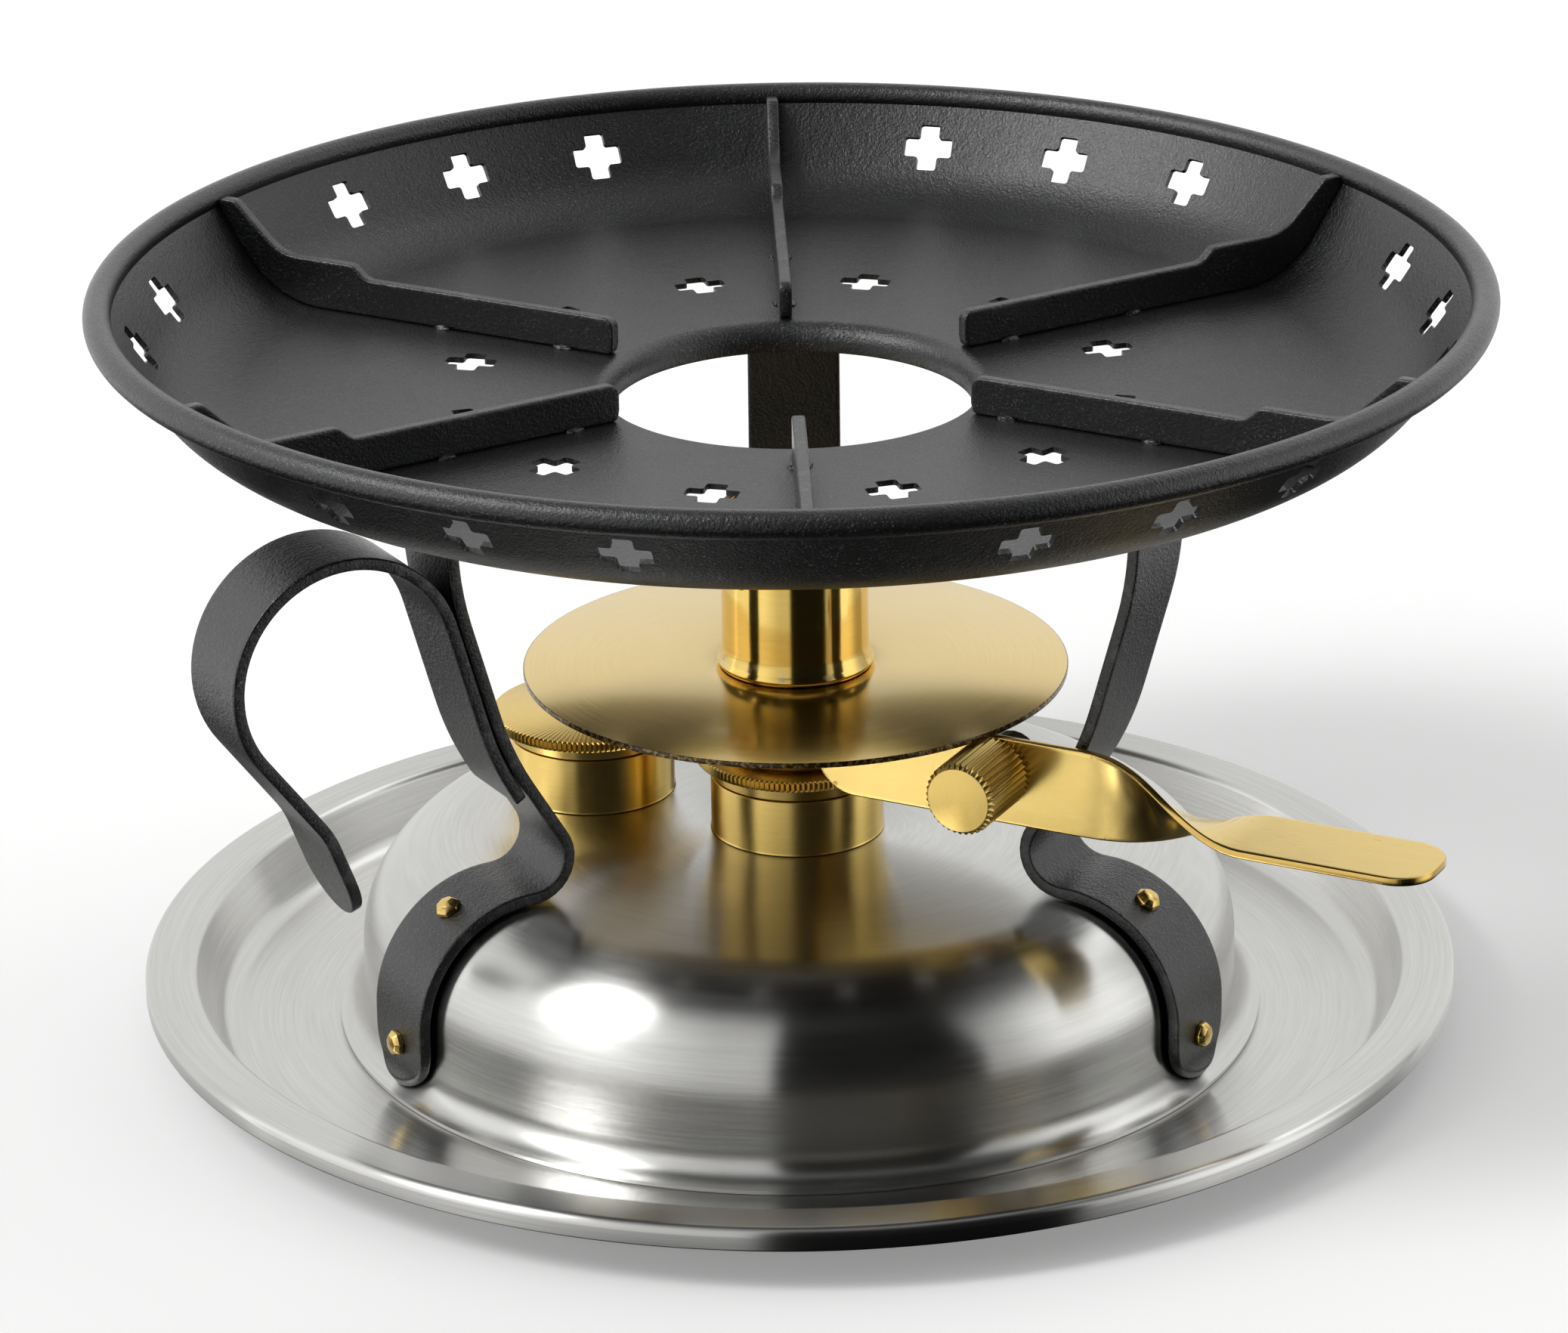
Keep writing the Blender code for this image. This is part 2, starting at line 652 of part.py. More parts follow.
def rib_outline():
    """Side view of one rib: level pan rest, a step up, then a curl that follows the dish wall."""
    curve_centre = (DISH_FLAT_RADIUS, DISH_FLOOR_Z - DISH_SHEET + DISH_CURVE)
    clear = DISH_CURVE - DISH_SHEET - FIT
    top = rounded([
        (RIB_INNER, DISH_FLOOR_Z + FIT, 0),
        (RIB_INNER, RIB_TOP_Z, 2.0),
        (RIB_STEP_RADIUS, RIB_TOP_Z, 1.2),
        (RIB_STEP_RADIUS + 2.6, RIB_STEP_Z, 1.2),
        (107.0, RIB_STEP_Z, 9.0),
        (116.6, RIB_TIP_Z, 0),
    ], step=20)
    wall_way = math.radians(DISH_WALL_SLOPE)
    under = arc(curve_centre, clear, DISH_WALL_SLOPE - 90, -90, 5)
    start = Vector(under[0])
    reach = (RIB_TIP_Z - 1.6 - start.y) / math.sin(wall_way)
    tip = start + Vector((math.cos(wall_way), math.sin(wall_way))) * reach
    return top + [(tip.x - 0.8, RIB_TIP_Z), tuple(tip)] + under


def make_ribs(black):
    centred = Matrix.Rotation(math.pi / 2, 4, "X")
    first = plate("pan_rib_1", rib_outline(), black, centred, -RIB_SHEET / 2, RIB_SHEET / 2)
    for i in range(RIB_COUNT):
        rib = first if i == 0 else bpy.data.objects.new(f"pan_rib_{i + 1}", first.data)
        if i:
            bpy.context.scene.collection.objects.link(rib)
        rib.rotation_euler.z = math.radians(90 + 60 * i) + DISH_TURN


# ---------------------------------------------------------------- legs, handle and rivets


def leg_path():
    """Centre line of a leg, from its flange under the dish down to its foot on the tank."""
    flange_z = DISH_FLOOR_Z - DISH_SHEET - FIT - STRIP_SHEET / 2
    clear = FIT + STRIP_SHEET / 2
    shoulder = (TANK_RADIUS - TANK_SHOULDER, TANK_TOP_Z - TANK_SHOULDER)
    foot = (TANK_RADIUS + TANK_FLARE, TANK_BRIM_Z + TANK_FLARE)
    upper = rounded([
        (LEG_FLANGE_END, flange_z, 0),
        (LEG_SHOULDER[0], flange_z, 4.0),
        (*LEG_SHOULDER, 60.0),
        (*LEG_KNEE, 60.0),
        (*LEG_BEND, 7.0),
        (shoulder[0], LEG_BEND[1], 0),
    ])
    return upper[:-1] + arc(shoulder, TANK_SHOULDER + clear, 90, 0, 7) + arc(foot, TANK_FLARE - clear, 180, 240, 4)


def handle_path():
    """Centre line of the handle: up beside the left leg, round the loop, and down to its free end."""
    gap = STRIP_SHEET + FIT
    run = (HANDLE_START_Z - LEG_BEND[1]) * math.tan(math.radians(LEG_LOWER_LEAN))
    start = beside((LEG_BEND[0] + run, HANDLE_START_Z), LEG_LOWER_LEAN, gap)
    knee = beside(LEG_KNEE, (LEG_LOWER_LEAN + LEG_UPPER_LEAN) / 2, gap)
    lean = math.radians(LEG_UPPER_LEAN)
    loop = HANDLE_LOOP_RADIUS
    meet_z = HANDLE_LOOP_Z + loop * math.sin(lean)
    centre_x = knee[0] + (meet_z - knee[1]) * math.tan(lean) + loop * math.cos(lean)
    centre = (centre_x, HANDLE_LOOP_Z)
    start_angle = 180 - LEG_UPPER_LEAN
    out = rounded([(*start, 0), (*knee, 57.5), (centre_x - loop * math.cos(lean), meet_z, 0)])
    around = arc(centre, loop, start_angle, -38, 22)
    back = rounded([(*around[-1], 0), (*HANDLE_RETURN, 18.0), (*HANDLE_TIP, 0)])
    return out[:-1] + around + back[1:]


def rivet_places():
    """Each rivet's frame, its z axis pointing out of the leg and its origin on the leg's outer face."""
    face = FIT + STRIP_SHEET
    shoulder = Vector((TANK_RADIUS - TANK_SHOULDER, 0, TANK_TOP_Z - TANK_SHOULDER))
    high_reach = TANK_SHOULDER + face
    high_way = Vector((math.cos(RIVET_HIGH_ANGLE), 0, math.sin(RIVET_HIGH_ANGLE)))
    spots = {
        "low": (Vector((TANK_RADIUS + face, 0, RIVET_LOW_Z)), math.pi / 2),
        "high": (shoulder + high_way * high_reach, math.pi / 2 - RIVET_HIGH_ANGLE),
    }
    places = {}
    for leg, azimuth in LEG_AZIMUTHS.items():
        for level, (spot, tilt) in spots.items():
            place = turn_z(math.radians(azimuth)) @ Matrix.Translation(spot) @ Matrix.Rotation(tilt, 4, "Y")
            places[f"rivet_{leg}_{level}"] = place
    return places


def make_rivets(brass):
    grip = STRIP_SHEET + FIT + TANK_SHEET
    seat = 0.2
    tail = -grip - 0.6
    outline = [
        (0.0, seat + RIVET_HEAD_HEIGHT),
        (RIVET_HEAD_RADIUS * 0.55, seat + RIVET_HEAD_HEIGHT * 0.85),
        (RIVET_HEAD_RADIUS * 0.9, seat + RIVET_HEAD_HEIGHT * 0.4),
        (RIVET_HEAD_RADIUS, seat),
        (RIVET_SHANK_RADIUS, seat),
        (RIVET_SHANK_RADIUS, tail),
        (RIVET_TAIL_RADIUS, tail),
        (RIVET_TAIL_RADIUS, tail - 0.7),
        (0.0, tail - 0.7),
    ]
    for name, place in rivet_places().items():
        rivet = turned(name, outline, brass, 8, closed=False)
        rivet.location = place.translation * MM
        rivet.rotation_euler = place.to_euler()


def tank_cutters():
    """The rivet holes through tank and legs, and the two neck holes in the tank top."""
    bm = bmesh.new()
    for place in rivet_places().values():
        drill(bm, place @ Matrix.Translation((0, 0, -2.0)), RIVET_HOLE_RADIUS, 8.0, 12)
    burner_hole = BURNER_TUBE_RADIUS + 2 * FIT + 1.0
    filler_hole = FILLER_NECK_RADIUS - 3.0 + FIT
    drill(bm, Matrix.Translation((0, 0, TANK_TOP_Z)), burner_hole, 6.0, MID_STEPS)
    drill(bm, Matrix.Translation((FILLER_X, FILLER_Y, TANK_TOP_Z)), filler_hole, 6.0, MID_STEPS)
    return cutter(bm, "tank_cutters")


def make_legs(black, cutters):
    stations = radial_stations(leg_path(), STRIP_WIDTH)
    for name, azimuth in LEG_AZIMUTHS.items():
        leg = strip(f"leg_{name}", stations, STRIP_SHEET, black)
        leg.rotation_euler.z = math.radians(azimuth)
        boolean(leg, cutters)
    handle = strip("carry_handle", radial_stations(handle_path(), STRIP_WIDTH), STRIP_SHEET, black)
    handle.rotation_euler.z = math.radians(LEG_AZIMUTHS["left"])


# ---------------------------------------------------------------- the whole stand


def main():
    for old in list(bpy.data.objects):
        bpy.data.objects.remove(old)

    steel = material("brushed_stainless", (0.60, 0.60, 0.58), 0.28, 1.0)
    brass = material("satin_brass", (0.78, 0.57, 0.24), 0.30, 1.0)
    polished = material("polished_brass", (0.74, 0.54, 0.20), 0.12, 1.0)
    black = material("black_powder_coat", (0.012, 0.012, 0.013), 0.45, 0.0)
    dark = material("blackened_steel", (0.03, 0.03, 0.03), 0.4, 0.8)
    rubber = material("seal_rubber", (0.03, 0.03, 0.03), 0.7, 0.0)
    cotton = material("wick_cotton", (0.82, 0.78, 0.68), 0.95, 0.0)
    wadding = material("glass_wadding", (0.85, 0.84, 0.78), 0.95, 0.0)
    gauze = material("steel_gauze", (0.35, 0.34, 0.32), 0.45, 1.0)

    cutters = tank_cutters()
    make_tray(steel)
    make_tank(steel, wadding, cutters)
    make_burner_neck(brass, rubber)
    make_filler(brass, rubber)
    make_burner(polished, cotton, gauze)

    pivot = bpy.data.objects.new("regulator_pivot", None)
    pivot.rotation_euler.z = LEVER_AZIMUTH
    bpy.context.scene.collection.objects.link(pivot)
    make_regulator(brass, polished, pivot)
    make_lever(brass, dark, pivot)

    make_dish(black)
    make_ribs(black)
    make_legs(black, cutters)
    make_rivets(brass)


main()
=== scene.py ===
"""Looks for the tabletop spirit burner stand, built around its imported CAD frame.

Lengths are in millimetres and angles in degrees unless a comment says otherwise.
Blender itself is in metres."""

import math
import random

import bmesh
import bpy
from mathutils import Matrix, Vector, noise


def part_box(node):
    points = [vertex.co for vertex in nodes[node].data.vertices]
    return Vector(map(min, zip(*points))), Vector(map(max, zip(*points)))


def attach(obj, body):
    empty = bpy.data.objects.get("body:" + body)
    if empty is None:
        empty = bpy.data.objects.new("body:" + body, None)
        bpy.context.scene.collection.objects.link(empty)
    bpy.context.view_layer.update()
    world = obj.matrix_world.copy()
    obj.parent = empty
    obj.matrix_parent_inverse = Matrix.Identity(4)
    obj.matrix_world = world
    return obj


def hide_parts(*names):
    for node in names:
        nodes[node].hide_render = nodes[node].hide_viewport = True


MM = 0.001

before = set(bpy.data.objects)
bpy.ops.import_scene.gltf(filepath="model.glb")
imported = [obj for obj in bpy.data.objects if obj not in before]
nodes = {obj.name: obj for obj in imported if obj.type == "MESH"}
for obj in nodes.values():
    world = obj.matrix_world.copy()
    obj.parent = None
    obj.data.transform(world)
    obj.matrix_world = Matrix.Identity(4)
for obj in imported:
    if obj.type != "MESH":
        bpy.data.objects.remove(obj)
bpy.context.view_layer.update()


def corners_of(node):
    """Lowest and highest corner of a CAD node."""
    low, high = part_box(node)
    return low / MM, high / MM


# How finely the round pieces are turned
FINE_STEPS = 288
SMALL_STEPS = 96
FIT = 0.3

# Drip tray
TRAY_RADIUS = corners_of("drip_tray")[1].x
TRAY_RIM_Z = corners_of("drip_tray")[1].z
TRAY_FLANGE = 8.7
TRAY_LIP = 4.0
TRAY_FLOOR_RADIUS = TRAY_RADIUS - 13.6
TRAY_SHEET = 0.8

# Tank dome
TANK_TOP_Z = corners_of("tank_dome")[1].z
TANK_BRIM_RADIUS = corners_of("tank_dome")[1].x
TANK_RADIUS = TANK_BRIM_RADIUS - 4.7
TANK_SHOULDER = 20.0
TANK_SHEET = 0.8
TANK_FLARE = 5.5
TANK_BRIM_Z = 1.6

# Necks, collar and filler cap
NECK_JOINT_Z = corners_of("burner_collar")[0].z - FIT
CAP_TOP_Z = corners_of("burner_collar")[1].z
CAP_KNURL_RADIUS = 18.5
CAP_KNURL_HEIGHT = 2.0
CAP_ROOT_RADIUS = CAP_KNURL_RADIUS - 0.65
CAP_CHAMFER = 0.45
CAP_TEETH = 120
BURNER_NECK_RADIUS = 15.8
FILLER_NECK_RADIUS = 15.2
FILLER_X = -38.0
FILLER_Y = 20.0

# Burner tube and flame regulator
BURNER_TUBE_RADIUS = 11.3
BURNER_BORE = 10.3
BURNER_TUBE_TOP_Z = corners_of("burner_tube")[1].z
SLEEVE_BORE = 11.7
SLEEVE_RADIUS = 13.3
SLEEVE_FLARE = 14.4
SLEEVE_TOP_Z = corners_of("regulator_sleeve")[1].z
PORT_Z = 87.0
PORT_HEIGHT = 6.0
PORT_WIDTH = 8.0
HUB_RADIUS = 14.8
DISC_RADIUS = 49.4
DISC_TOP_Z = corners_of("regulator_disc")[1].z
DISC_SHEET = 1.0

# Regulator lever and its thumb screw
LEVER_AZIMUTH = -26.8
LEVER_OFFSET = 14.0
LEVER_WIDTH = 16.3
LEVER_SHEET = 1.5
LEVER_MID_Z = 57.2
LEVER_INNER = 11.0
LEVER_TWIST_FROM = 63.0
LEVER_TWIST_TO = 97.0
LEVER_END = 130.5
PADDLE_WIDTH = 17.5
PADDLE_MID_Z = 54.8
PADDLE_CORNER = 7.0
SCREW_X = 46.8
SCREW_Z = 58.8
SCREW_HEAD_RADIUS = 6.7
SCREW_HEAD_LENGTH = 15.0
SCREW_SHANK_RADIUS = 2.0
SCREW_TEETH = 36

# Pan-support dish
DISH_RADIUS = corners_of("support_dish")[1].x
DISH_RIM_Z = corners_of("support_dish")[1].z
DISH_FLOOR_Z = 120.0
DISH_SHEET = 1.0
DISH_BEAD = 2.5
DISH_FLAT_RADIUS = 98.5
DISH_CURVE = 20.0
DISH_WALL_SLOPE = 55.0
DISH_HOLE_RADIUS = 32.4
DISH_LIP_ROLL = 3.9
DISH_LIP_Z = corners_of("support_dish")[0].z
DISH_TURN = 1.8
CROSS_SPAN = 9.3
CROSS_ARM = 3.8
CROSS_CORNER = 0.55
FLOOR_CROSS_RADIUS = 59.5
WALL_CROSS_RISE = 2.0
WALL_CROSS_TURN = 31.1
WALL_CROSS_SPACING = 13.8

# Ribs that carry the pan
RIB_COUNT = 6
RIB_SHEET = 2.3
RIB_INNER = 36.1
RIB_TOP_Z = 126.8
RIB_STEP_Z = 129.3
RIB_STEP_RADIUS = 88.5
RIB_STEP_RUN = 2.8
RIB_CURL_RADIUS = 107.0
RIB_TIP_RADIUS = 116.6
RIB_TIP_Z = 138.4
RIB_TIP_DROP = 1.6
RIB_FOOT_GAP = 0.05
WELD_RADII = (45.0, 72.0)

# Strip legs and handle
STRIP_WIDTH = 17.5
STRIP_SHEET = 2.2
STRIP_EDGE = 0.35
LEG_AZIMUTHS = {"back": 90.0, "left": 210.0, "right": 330.0}
LEG_LOWER_LEAN = 31.0
LEG_UPPER_LEAN = 15.8
LEG_BEND = (46.3, 36.2)
LEG_KNEE = (63.3, 64.5)
LEG_SHOULDER = (72.8, 98.0)
LEG_FLANGE_END = 87.0
HANDLE_START_Z = 56.5
HANDLE_LOOP_RADIUS = 20.9
HANDLE_LOOP_Z = 85.2
HANDLE_RETURN = (98.2, 56.6)
HANDLE_TIP = (91.6, 39.0)

# Rivets that hold the legs to the tank
RIVET_HEAD_RADIUS = 2.45
RIVET_HEAD_HEIGHT = 1.9
RIVET_LOW_Z = 10.6
RIVET_HIGH_ANGLE = 59.0

# Studio. Each light in the sky has its strength, then its centre, half width and soft edge in azimuth
# and in height above or below the horizon. Well below the horizon they fade to almost nothing.
SKY_LIGHTS = {
    "backdrop": (0.74, (100.0, 60.0, 12.0), (0.0, 46.0, 16.0)),
    "left_panel": (0.58, (-147.0, 48.0, 4.0), (0.0, 56.0, 14.0)),
    "left_glow": (0.38, (-162.0, 18.0, 34.0), (28.0, 14.0, 26.0)),
    "left_softbox": (10.0, (-160.0, 4.0, 13.0), (49.0, 5.0, 13.0)),
    "right_panel": (0.46, (-5.0, 35.0, 4.0), (0.0, 36.0, 22.0)),
    "right_glow": (0.62, (-8.0, 7.0, 25.0), (10.0, 16.0, 30.0)),
    "right_softbox": (0.9, (36.0, 10.0, 25.0), (53.0, 5.0, 16.0)),
    "overhead": (0.32, (0.0, 180.0, 1.0), (90.0, 18.0, 16.0)),
}
SKY_GLOOM = 0.015
SKY_FADE = (-35.0, -18.0)
SKY_FADED = 0.03
FLOOR_DROP = 0.2

# Camera, matched to the photograph's viewing angle
CAMERA_LENS = 142.66
CAMERA_SENSOR = 36.0
CAMERA_PLACE = (4.9, -1049.6, 476.1)
CAMERA_PAN_TILT_ROLL = (-0.383, 21.357, -0.768)


# ---------------------------------------------------------------- outlines


def cosd(angle):
    return math.cos(math.radians(angle))


def sind(angle):
    return math.sin(math.radians(angle))


def arc(centre, radius, start, end, steps):
    """Points on a circle, from one angle to the other, both ends included."""
    angles = [start + (end - start) * i / steps for i in range(steps + 1)]
    return [(centre[0] + radius * cosd(angle), centre[1] + radius * sind(angle)) for angle in angles]


def rounded(corners, step=6.0):
    """A path through corners given as (x, y, fillet radius), each corner turned into an arc."""
    path = [corners[0][:2]]
    for before, corner, after in zip(corners, corners[1:], corners[2:]):
        here = Vector(corner[:2])
        back = (Vector(before[:2]) - here).normalized()
        ahead = (Vector(after[:2]) - here).normalized()
        half = back.angle(ahead) / 2
        centre = here + (back + ahead).normalized() * (corner[2] / math.sin(half))
        start = here + back * (corner[2] / math.tan(half)) - centre
        turn = math.pi - 2 * half
        if back.cross(ahead) > 0:
            turn = -turn
        count = max(2, round(abs(math.degrees(turn)) / step))
        for i in range(count + 1):
            spoke = start.copy()
            spoke.rotate(Matrix.Rotation(turn * i / count, 2))
            path.append(tuple(centre + spoke))
    path.append(corners[-1][:2])
    return path


def beside(point, lean, gap):
    """A point moved outwards, square off a line that leans outwards from the vertical."""
    return (point[0] + gap * cosd(lean), point[1] - gap * sind(lean))


def eased(share):
    """0 to 1 with level ends."""
    share = min(1.0, max(0.0, share))
    return share * share * (3 - 2 * share)


# ---------------------------------------------------------------- mesh makers


def piece_from(bm, name, look, sharp=35.0):
    """Closes off a bmesh as a smooth-shaded object."""
    bmesh.ops.remove_doubles(bm, verts=bm.verts, dist=1e-7)
    bmesh.ops.recalc_face_normals(bm, faces=bm.faces)
    mesh = bpy.data.meshes.new(name)
    bm.to_mesh(mesh)
    bm.free()
    mesh.shade_smooth()
    mesh.set_sharp_from_angle(angle=math.radians(sharp))
    mesh.materials.append(look)
    made = bpy.data.objects.new(name, mesh)
    bpy.context.scene.collection.objects.link(made)
    return made


def settle(piece):
    """Applies a piece's modifiers."""
    graph = bpy.context.evaluated_depsgraph_get()
    solid = bpy.data.meshes.new_from_object(piece.evaluated_get(graph))
    piece.modifiers.clear()
    piece.data = solid
    solid.set_sharp_from_angle(angle=math.radians(35))


def cut(piece, cutter_bm):
    """Cuts the shapes in a bmesh out of a piece."""
    cutter = piece_from(cutter_bm, piece.name + "_cutter", piece.data.materials[0])
    modifier = piece.modifiers.new("cut", "BOOLEAN")
    modifier.operation = "DIFFERENCE"
    modifier.object = cutter
    settle(piece)
    bpy.data.objects.remove(cutter)


def in_place(piece, body, slot, *cad_nodes):
    """The piece moves with a body and stands for these CAD nodes."""
    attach(piece, body)
    if cad_nodes:
        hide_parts(*cad_nodes)
    return piece


def lathe(name, outline, look, steps=FINE_STEPS, teeth=0, root=0.0):
    """A piece turned about z from (radius, z) points.

    What stands beyond the root radius is cut into teeth."""
    bm = bmesh.new()
    rings = []
    for radius, z in outline:
        if radius < 1e-6:
            rings.append([bm.verts.new((0, 0, z * MM))])
            continue
        ring = []
        for i in range(steps):
            angle = 360 * i / steps
            groove = 0.5 - 0.5 * cosd(teeth * angle)
            here = (radius - groove * max(0.0, radius - root)) * MM
            ring.append(bm.verts.new((here * cosd(angle), here * sind(angle), z * MM)))
        rings.append(ring)
    pairs = list(zip(rings, rings[1:]))
    if len(rings[0]) > 1:
        pairs.append((rings[-1], rings[0]))
    for first, second in pairs:
        for i in range(steps):
            j = (i + 1) % steps
            ends = [ring[k % len(ring)] for ring, k in ((first, i), (first, j), (second, j), (second, i))]
            bm.faces.new(list(dict.fromkeys(ends)))
    return piece_from(bm, name, look)


def prism(bm, outline, place, low, high):
    """A closed prism on a flat (x, y) outline, put in place by a matrix in millimetres."""
    levels = []
    for z in (low, high):
        levels.append([bm.verts.new((place @ Vector((x, y, z))) * MM) for x, y in outline])
    bottom, top = levels
    bm.faces.new(bottom[::-1])
    bm.faces.new(top)
    for i in range(len(outline)):
        j = (i + 1) % len(outline)
        bm.faces.new((bottom[i], bottom[j], top[j], top[i]))


def edge_profile(sheet, edge, hold=0.9):
    """(distance in from the cut edge, height) points over one rounded edge of a sheet, face to face."""
    half = sheet / 2
    upper = [(hold, half)] + [(edge * (1 - sind(a)), half - edge * (1 - cosd(a))) for a in (0, 30, 60, 90)]
    return upper + [(inset, -height) for inset, height in reversed(upper)]


def sheet_strip(name, length, half_width, ends, sheet, edge, look, place):
    """A strip of sheet with rounded edges and its end corners cut to the two radii in ends.

    half_width gives the half width at a distance s along it, and place the point for (s, across, height)."""
    start, end = ends
    side = []
    for a in range(0, 91, 6):
        side.append((start * (1 - cosd(a)), half_width(0) - start * (1 - sind(a)), -cosd(a), sind(a)))
    run = length - start - end
    count = max(2, round(run / 1.5))
    for i in range(1, count):
        s = start + run * i / count
        side.append((s, half_width(s), 0.0, 1.0))
    for a in range(0, 91, 6):
        inset = end * (1 - cosd(a))
        side.append((length - end * (1 - sind(a)), half_width(length) - inset, sind(a), cosd(a)))
    if side[0][1] > 0.01:
        side.insert(0, (0.0, 0.0, -1.0, 0.0))
    if side[-1][1] > 0.01:
        side.append((length, 0.0, 1.0, 0.0))

    profile = edge_profile(sheet, edge)
    bm = bmesh.new()
    # Marks the rounded edges; the powder coat paints them paler there, partly as abrasion and partly as a
    # painted edge highlight.
    edge_wear_and_sheen = bm.verts.layers.float.new("edge_wear_and_sheen")
    columns = {1: [], -1: []}
    for way, made in columns.items():
        for s, across, along_out, across_out in side:
            column = []
            for inset, height in profile:
                at = place(s - along_out * inset, way * (across - across_out * inset), height)
                vert = bm.verts.new(at * MM)
                vert[edge_wear_and_sheen] = 1.0 if inset < edge * 0.9 else 0.0
                column.append(vert)
            made.append(column)
    right, left = columns[1], columns[-1]
    for made in (right, left):
        for here, after in zip(made, made[1:]):
            for k in range(len(profile) - 1):
                bm.faces.new((here[k], after[k], after[k + 1], here[k + 1]))
    for k in range(len(side) - 1):
        for level in (0, -1):
            bm.faces.new((right[k][level], right[k + 1][level], left[k + 1][level], left[k][level]))
    return piece_from(bm, name, look)


def rounded_plate(name, outline, sheet, edge, look):
    """An upright plate in the xz plane from an (x, z) outline, with its edges rounded over."""
    bm = bmesh.new()
    prism(bm, outline, Matrix.Rotation(math.pi / 2, 4, "X"), -sheet / 2, sheet / 2)
    bmesh.ops.recalc_face_normals(bm, faces=bm.faces)
    sides = [face for face in bm.faces if abs(face.normal.y) > 0.9]
    bmesh.ops.inset_region(bm, faces=sides, thickness=0.9 * MM, use_even_offset=True)
    rims = [e for e in bm.edges if abs(abs(e.link_faces[0].normal.y) - abs(e.link_faces[1].normal.y)) > 0.9]
    # Marks the bevelled edges; the powder coat paints them paler there, partly as abrasion and partly as a
    # painted edge highlight.
    edge_wear_and_sheen = bm.verts.layers.float.new("edge_wear_and_sheen")
    made = bmesh.ops.bevel(bm, geom=rims, offset=edge * MM, segments=3, profile=0.5, affect="EDGES")
    for face in made["faces"]:
        for vert in face.verts:
            vert[edge_wear_and_sheen] = 1.0
    return piece_from(bm, name, look)


class Route:
    """Places along an (x, z) path.

    A point across the route stands off it along y, and one above it stands off square to both."""

    def __init__(self, path):
        self.points = [Vector((x, 0, z)) for x, z in path]
        self.reach = [0.0]
        for before, after in zip(self.points, self.points[1:]):
            self.reach.append(self.reach[-1] + (after - before).length)
        self.length = self.reach[-1]

    def at(self, s):
        s = min(max(s, 0.0), self.length)
        i = 0
        while i < len(self.reach) - 2 and self.reach[i + 1] < s:
            i += 1
        share = (s - self.reach[i]) / (self.reach[i + 1] - self.reach[i])
        return self.points[i].lerp(self.points[i + 1], share)

    def place(self, s, across, height):
        ahead = (self.at(s + 0.6) - self.at(s - 0.6)).normalized()
        return self.at(s) + ahead.cross(Vector((0, 1, 0))) * height + Vector((0, across, 0))


# ---------------------------------------------------------------- node trees


class Tree:
    """Short calls that add nodes to a tree and wire them up."""

    def __init__(self, tree):
        self.tree = tree

    def add(self, kind, inputs=None, **settings):
        node = self.tree.nodes.new("ShaderNode" + kind)
        for name, value in settings.items():
            setattr(node, name, value)
        for key, value in (inputs or {}).items():
            self.feed(node.inputs[key], value)
        return node

    def feed(self, socket, value):
        if isinstance(value, bpy.types.NodeSocket):
            self.tree.links.new(value, socket)
        else:
            socket.default_value = value

    def math(self, operation, *values):
        return self.add("Math", dict(enumerate(values)), operation=operation).outputs[0]

    def join(self, x, y, z):
        return self.add("CombineXYZ", {0: x, 1: y, 2: z}).outputs[0]

    def spread(self, value, low, high, to_low=0.0, to_high=1.0):
        inputs = {"Value": value, "From Min": low, "From Max": high, "To Min": to_low, "To Max": to_high}
        return self.add("MapRange", inputs, interpolation_type="SMOOTHSTEP").outputs[0]

    def noise(self, vector, scale, detail=2.0, roughness=0.5):
        inputs = {"Vector": vector, "Scale": scale, "Detail": detail, "Roughness": roughness}
        return self.add("TexNoise", inputs).outputs["Fac"]

    def mix(self, share, first, second):
        node = self.add("Mix", data_type="RGBA")
        self.feed(node.inputs[0], share)
        for index, colour in ((6, first), (7, second)):
            value = colour if isinstance(colour, bpy.types.NodeSocket) else (*colour, 1.0)
            self.feed(node.inputs[index], value)
        return node.outputs[2]

    def bump(self, height, distance, strength=1.0):
        node = self.add("Bump", {"Height": height, "Distance": distance * MM, "Strength": strength})
        return node.outputs[0]

    def place(self):
        """The point in the object's own axes, in metres."""
        return self.add("TexCoord").outputs["Object"]

    def turning_marks(self, lines_per_mm, arc_share, detail=4.0):
        """Fine lines that run round the object's own z axis, as turning and circular brushing leave them."""
        point = self.add("SeparateXYZ", {0: self.place()})
        x, y, z = point.outputs
        square = self.math("ADD", self.math("MULTIPLY", x, x), self.math("MULTIPLY", y, y))
        radius = self.math("SQRT", square)
        far = self.math("MAXIMUM", radius, 1e-5)
        across = self.math("MULTIPLY", self.math("ADD", radius, z), lines_per_mm / MM)
        round_x = self.math("MULTIPLY", self.math("DIVIDE", x, far), arc_share)
        round_y = self.math("MULTIPLY", self.math("DIVIDE", y, far), arc_share)
        return self.noise(self.join(round_x, round_y, across), 1.0, detail, 0.6)


def new_material(name, metallic, **constants):
    """A material, its tree and its shader, with the shader's constant inputs set."""
    made = bpy.data.materials.new(name)
    made.use_nodes = True
    shader = made.node_tree.nodes["Principled BSDF"]
    shader.inputs["Metallic"].default_value = metallic
    for key, value in constants.items():
        shader.inputs[key.replace("_", " ").title().replace("Ior", "IOR")].default_value = value
    return made, Tree(made.node_tree), shader


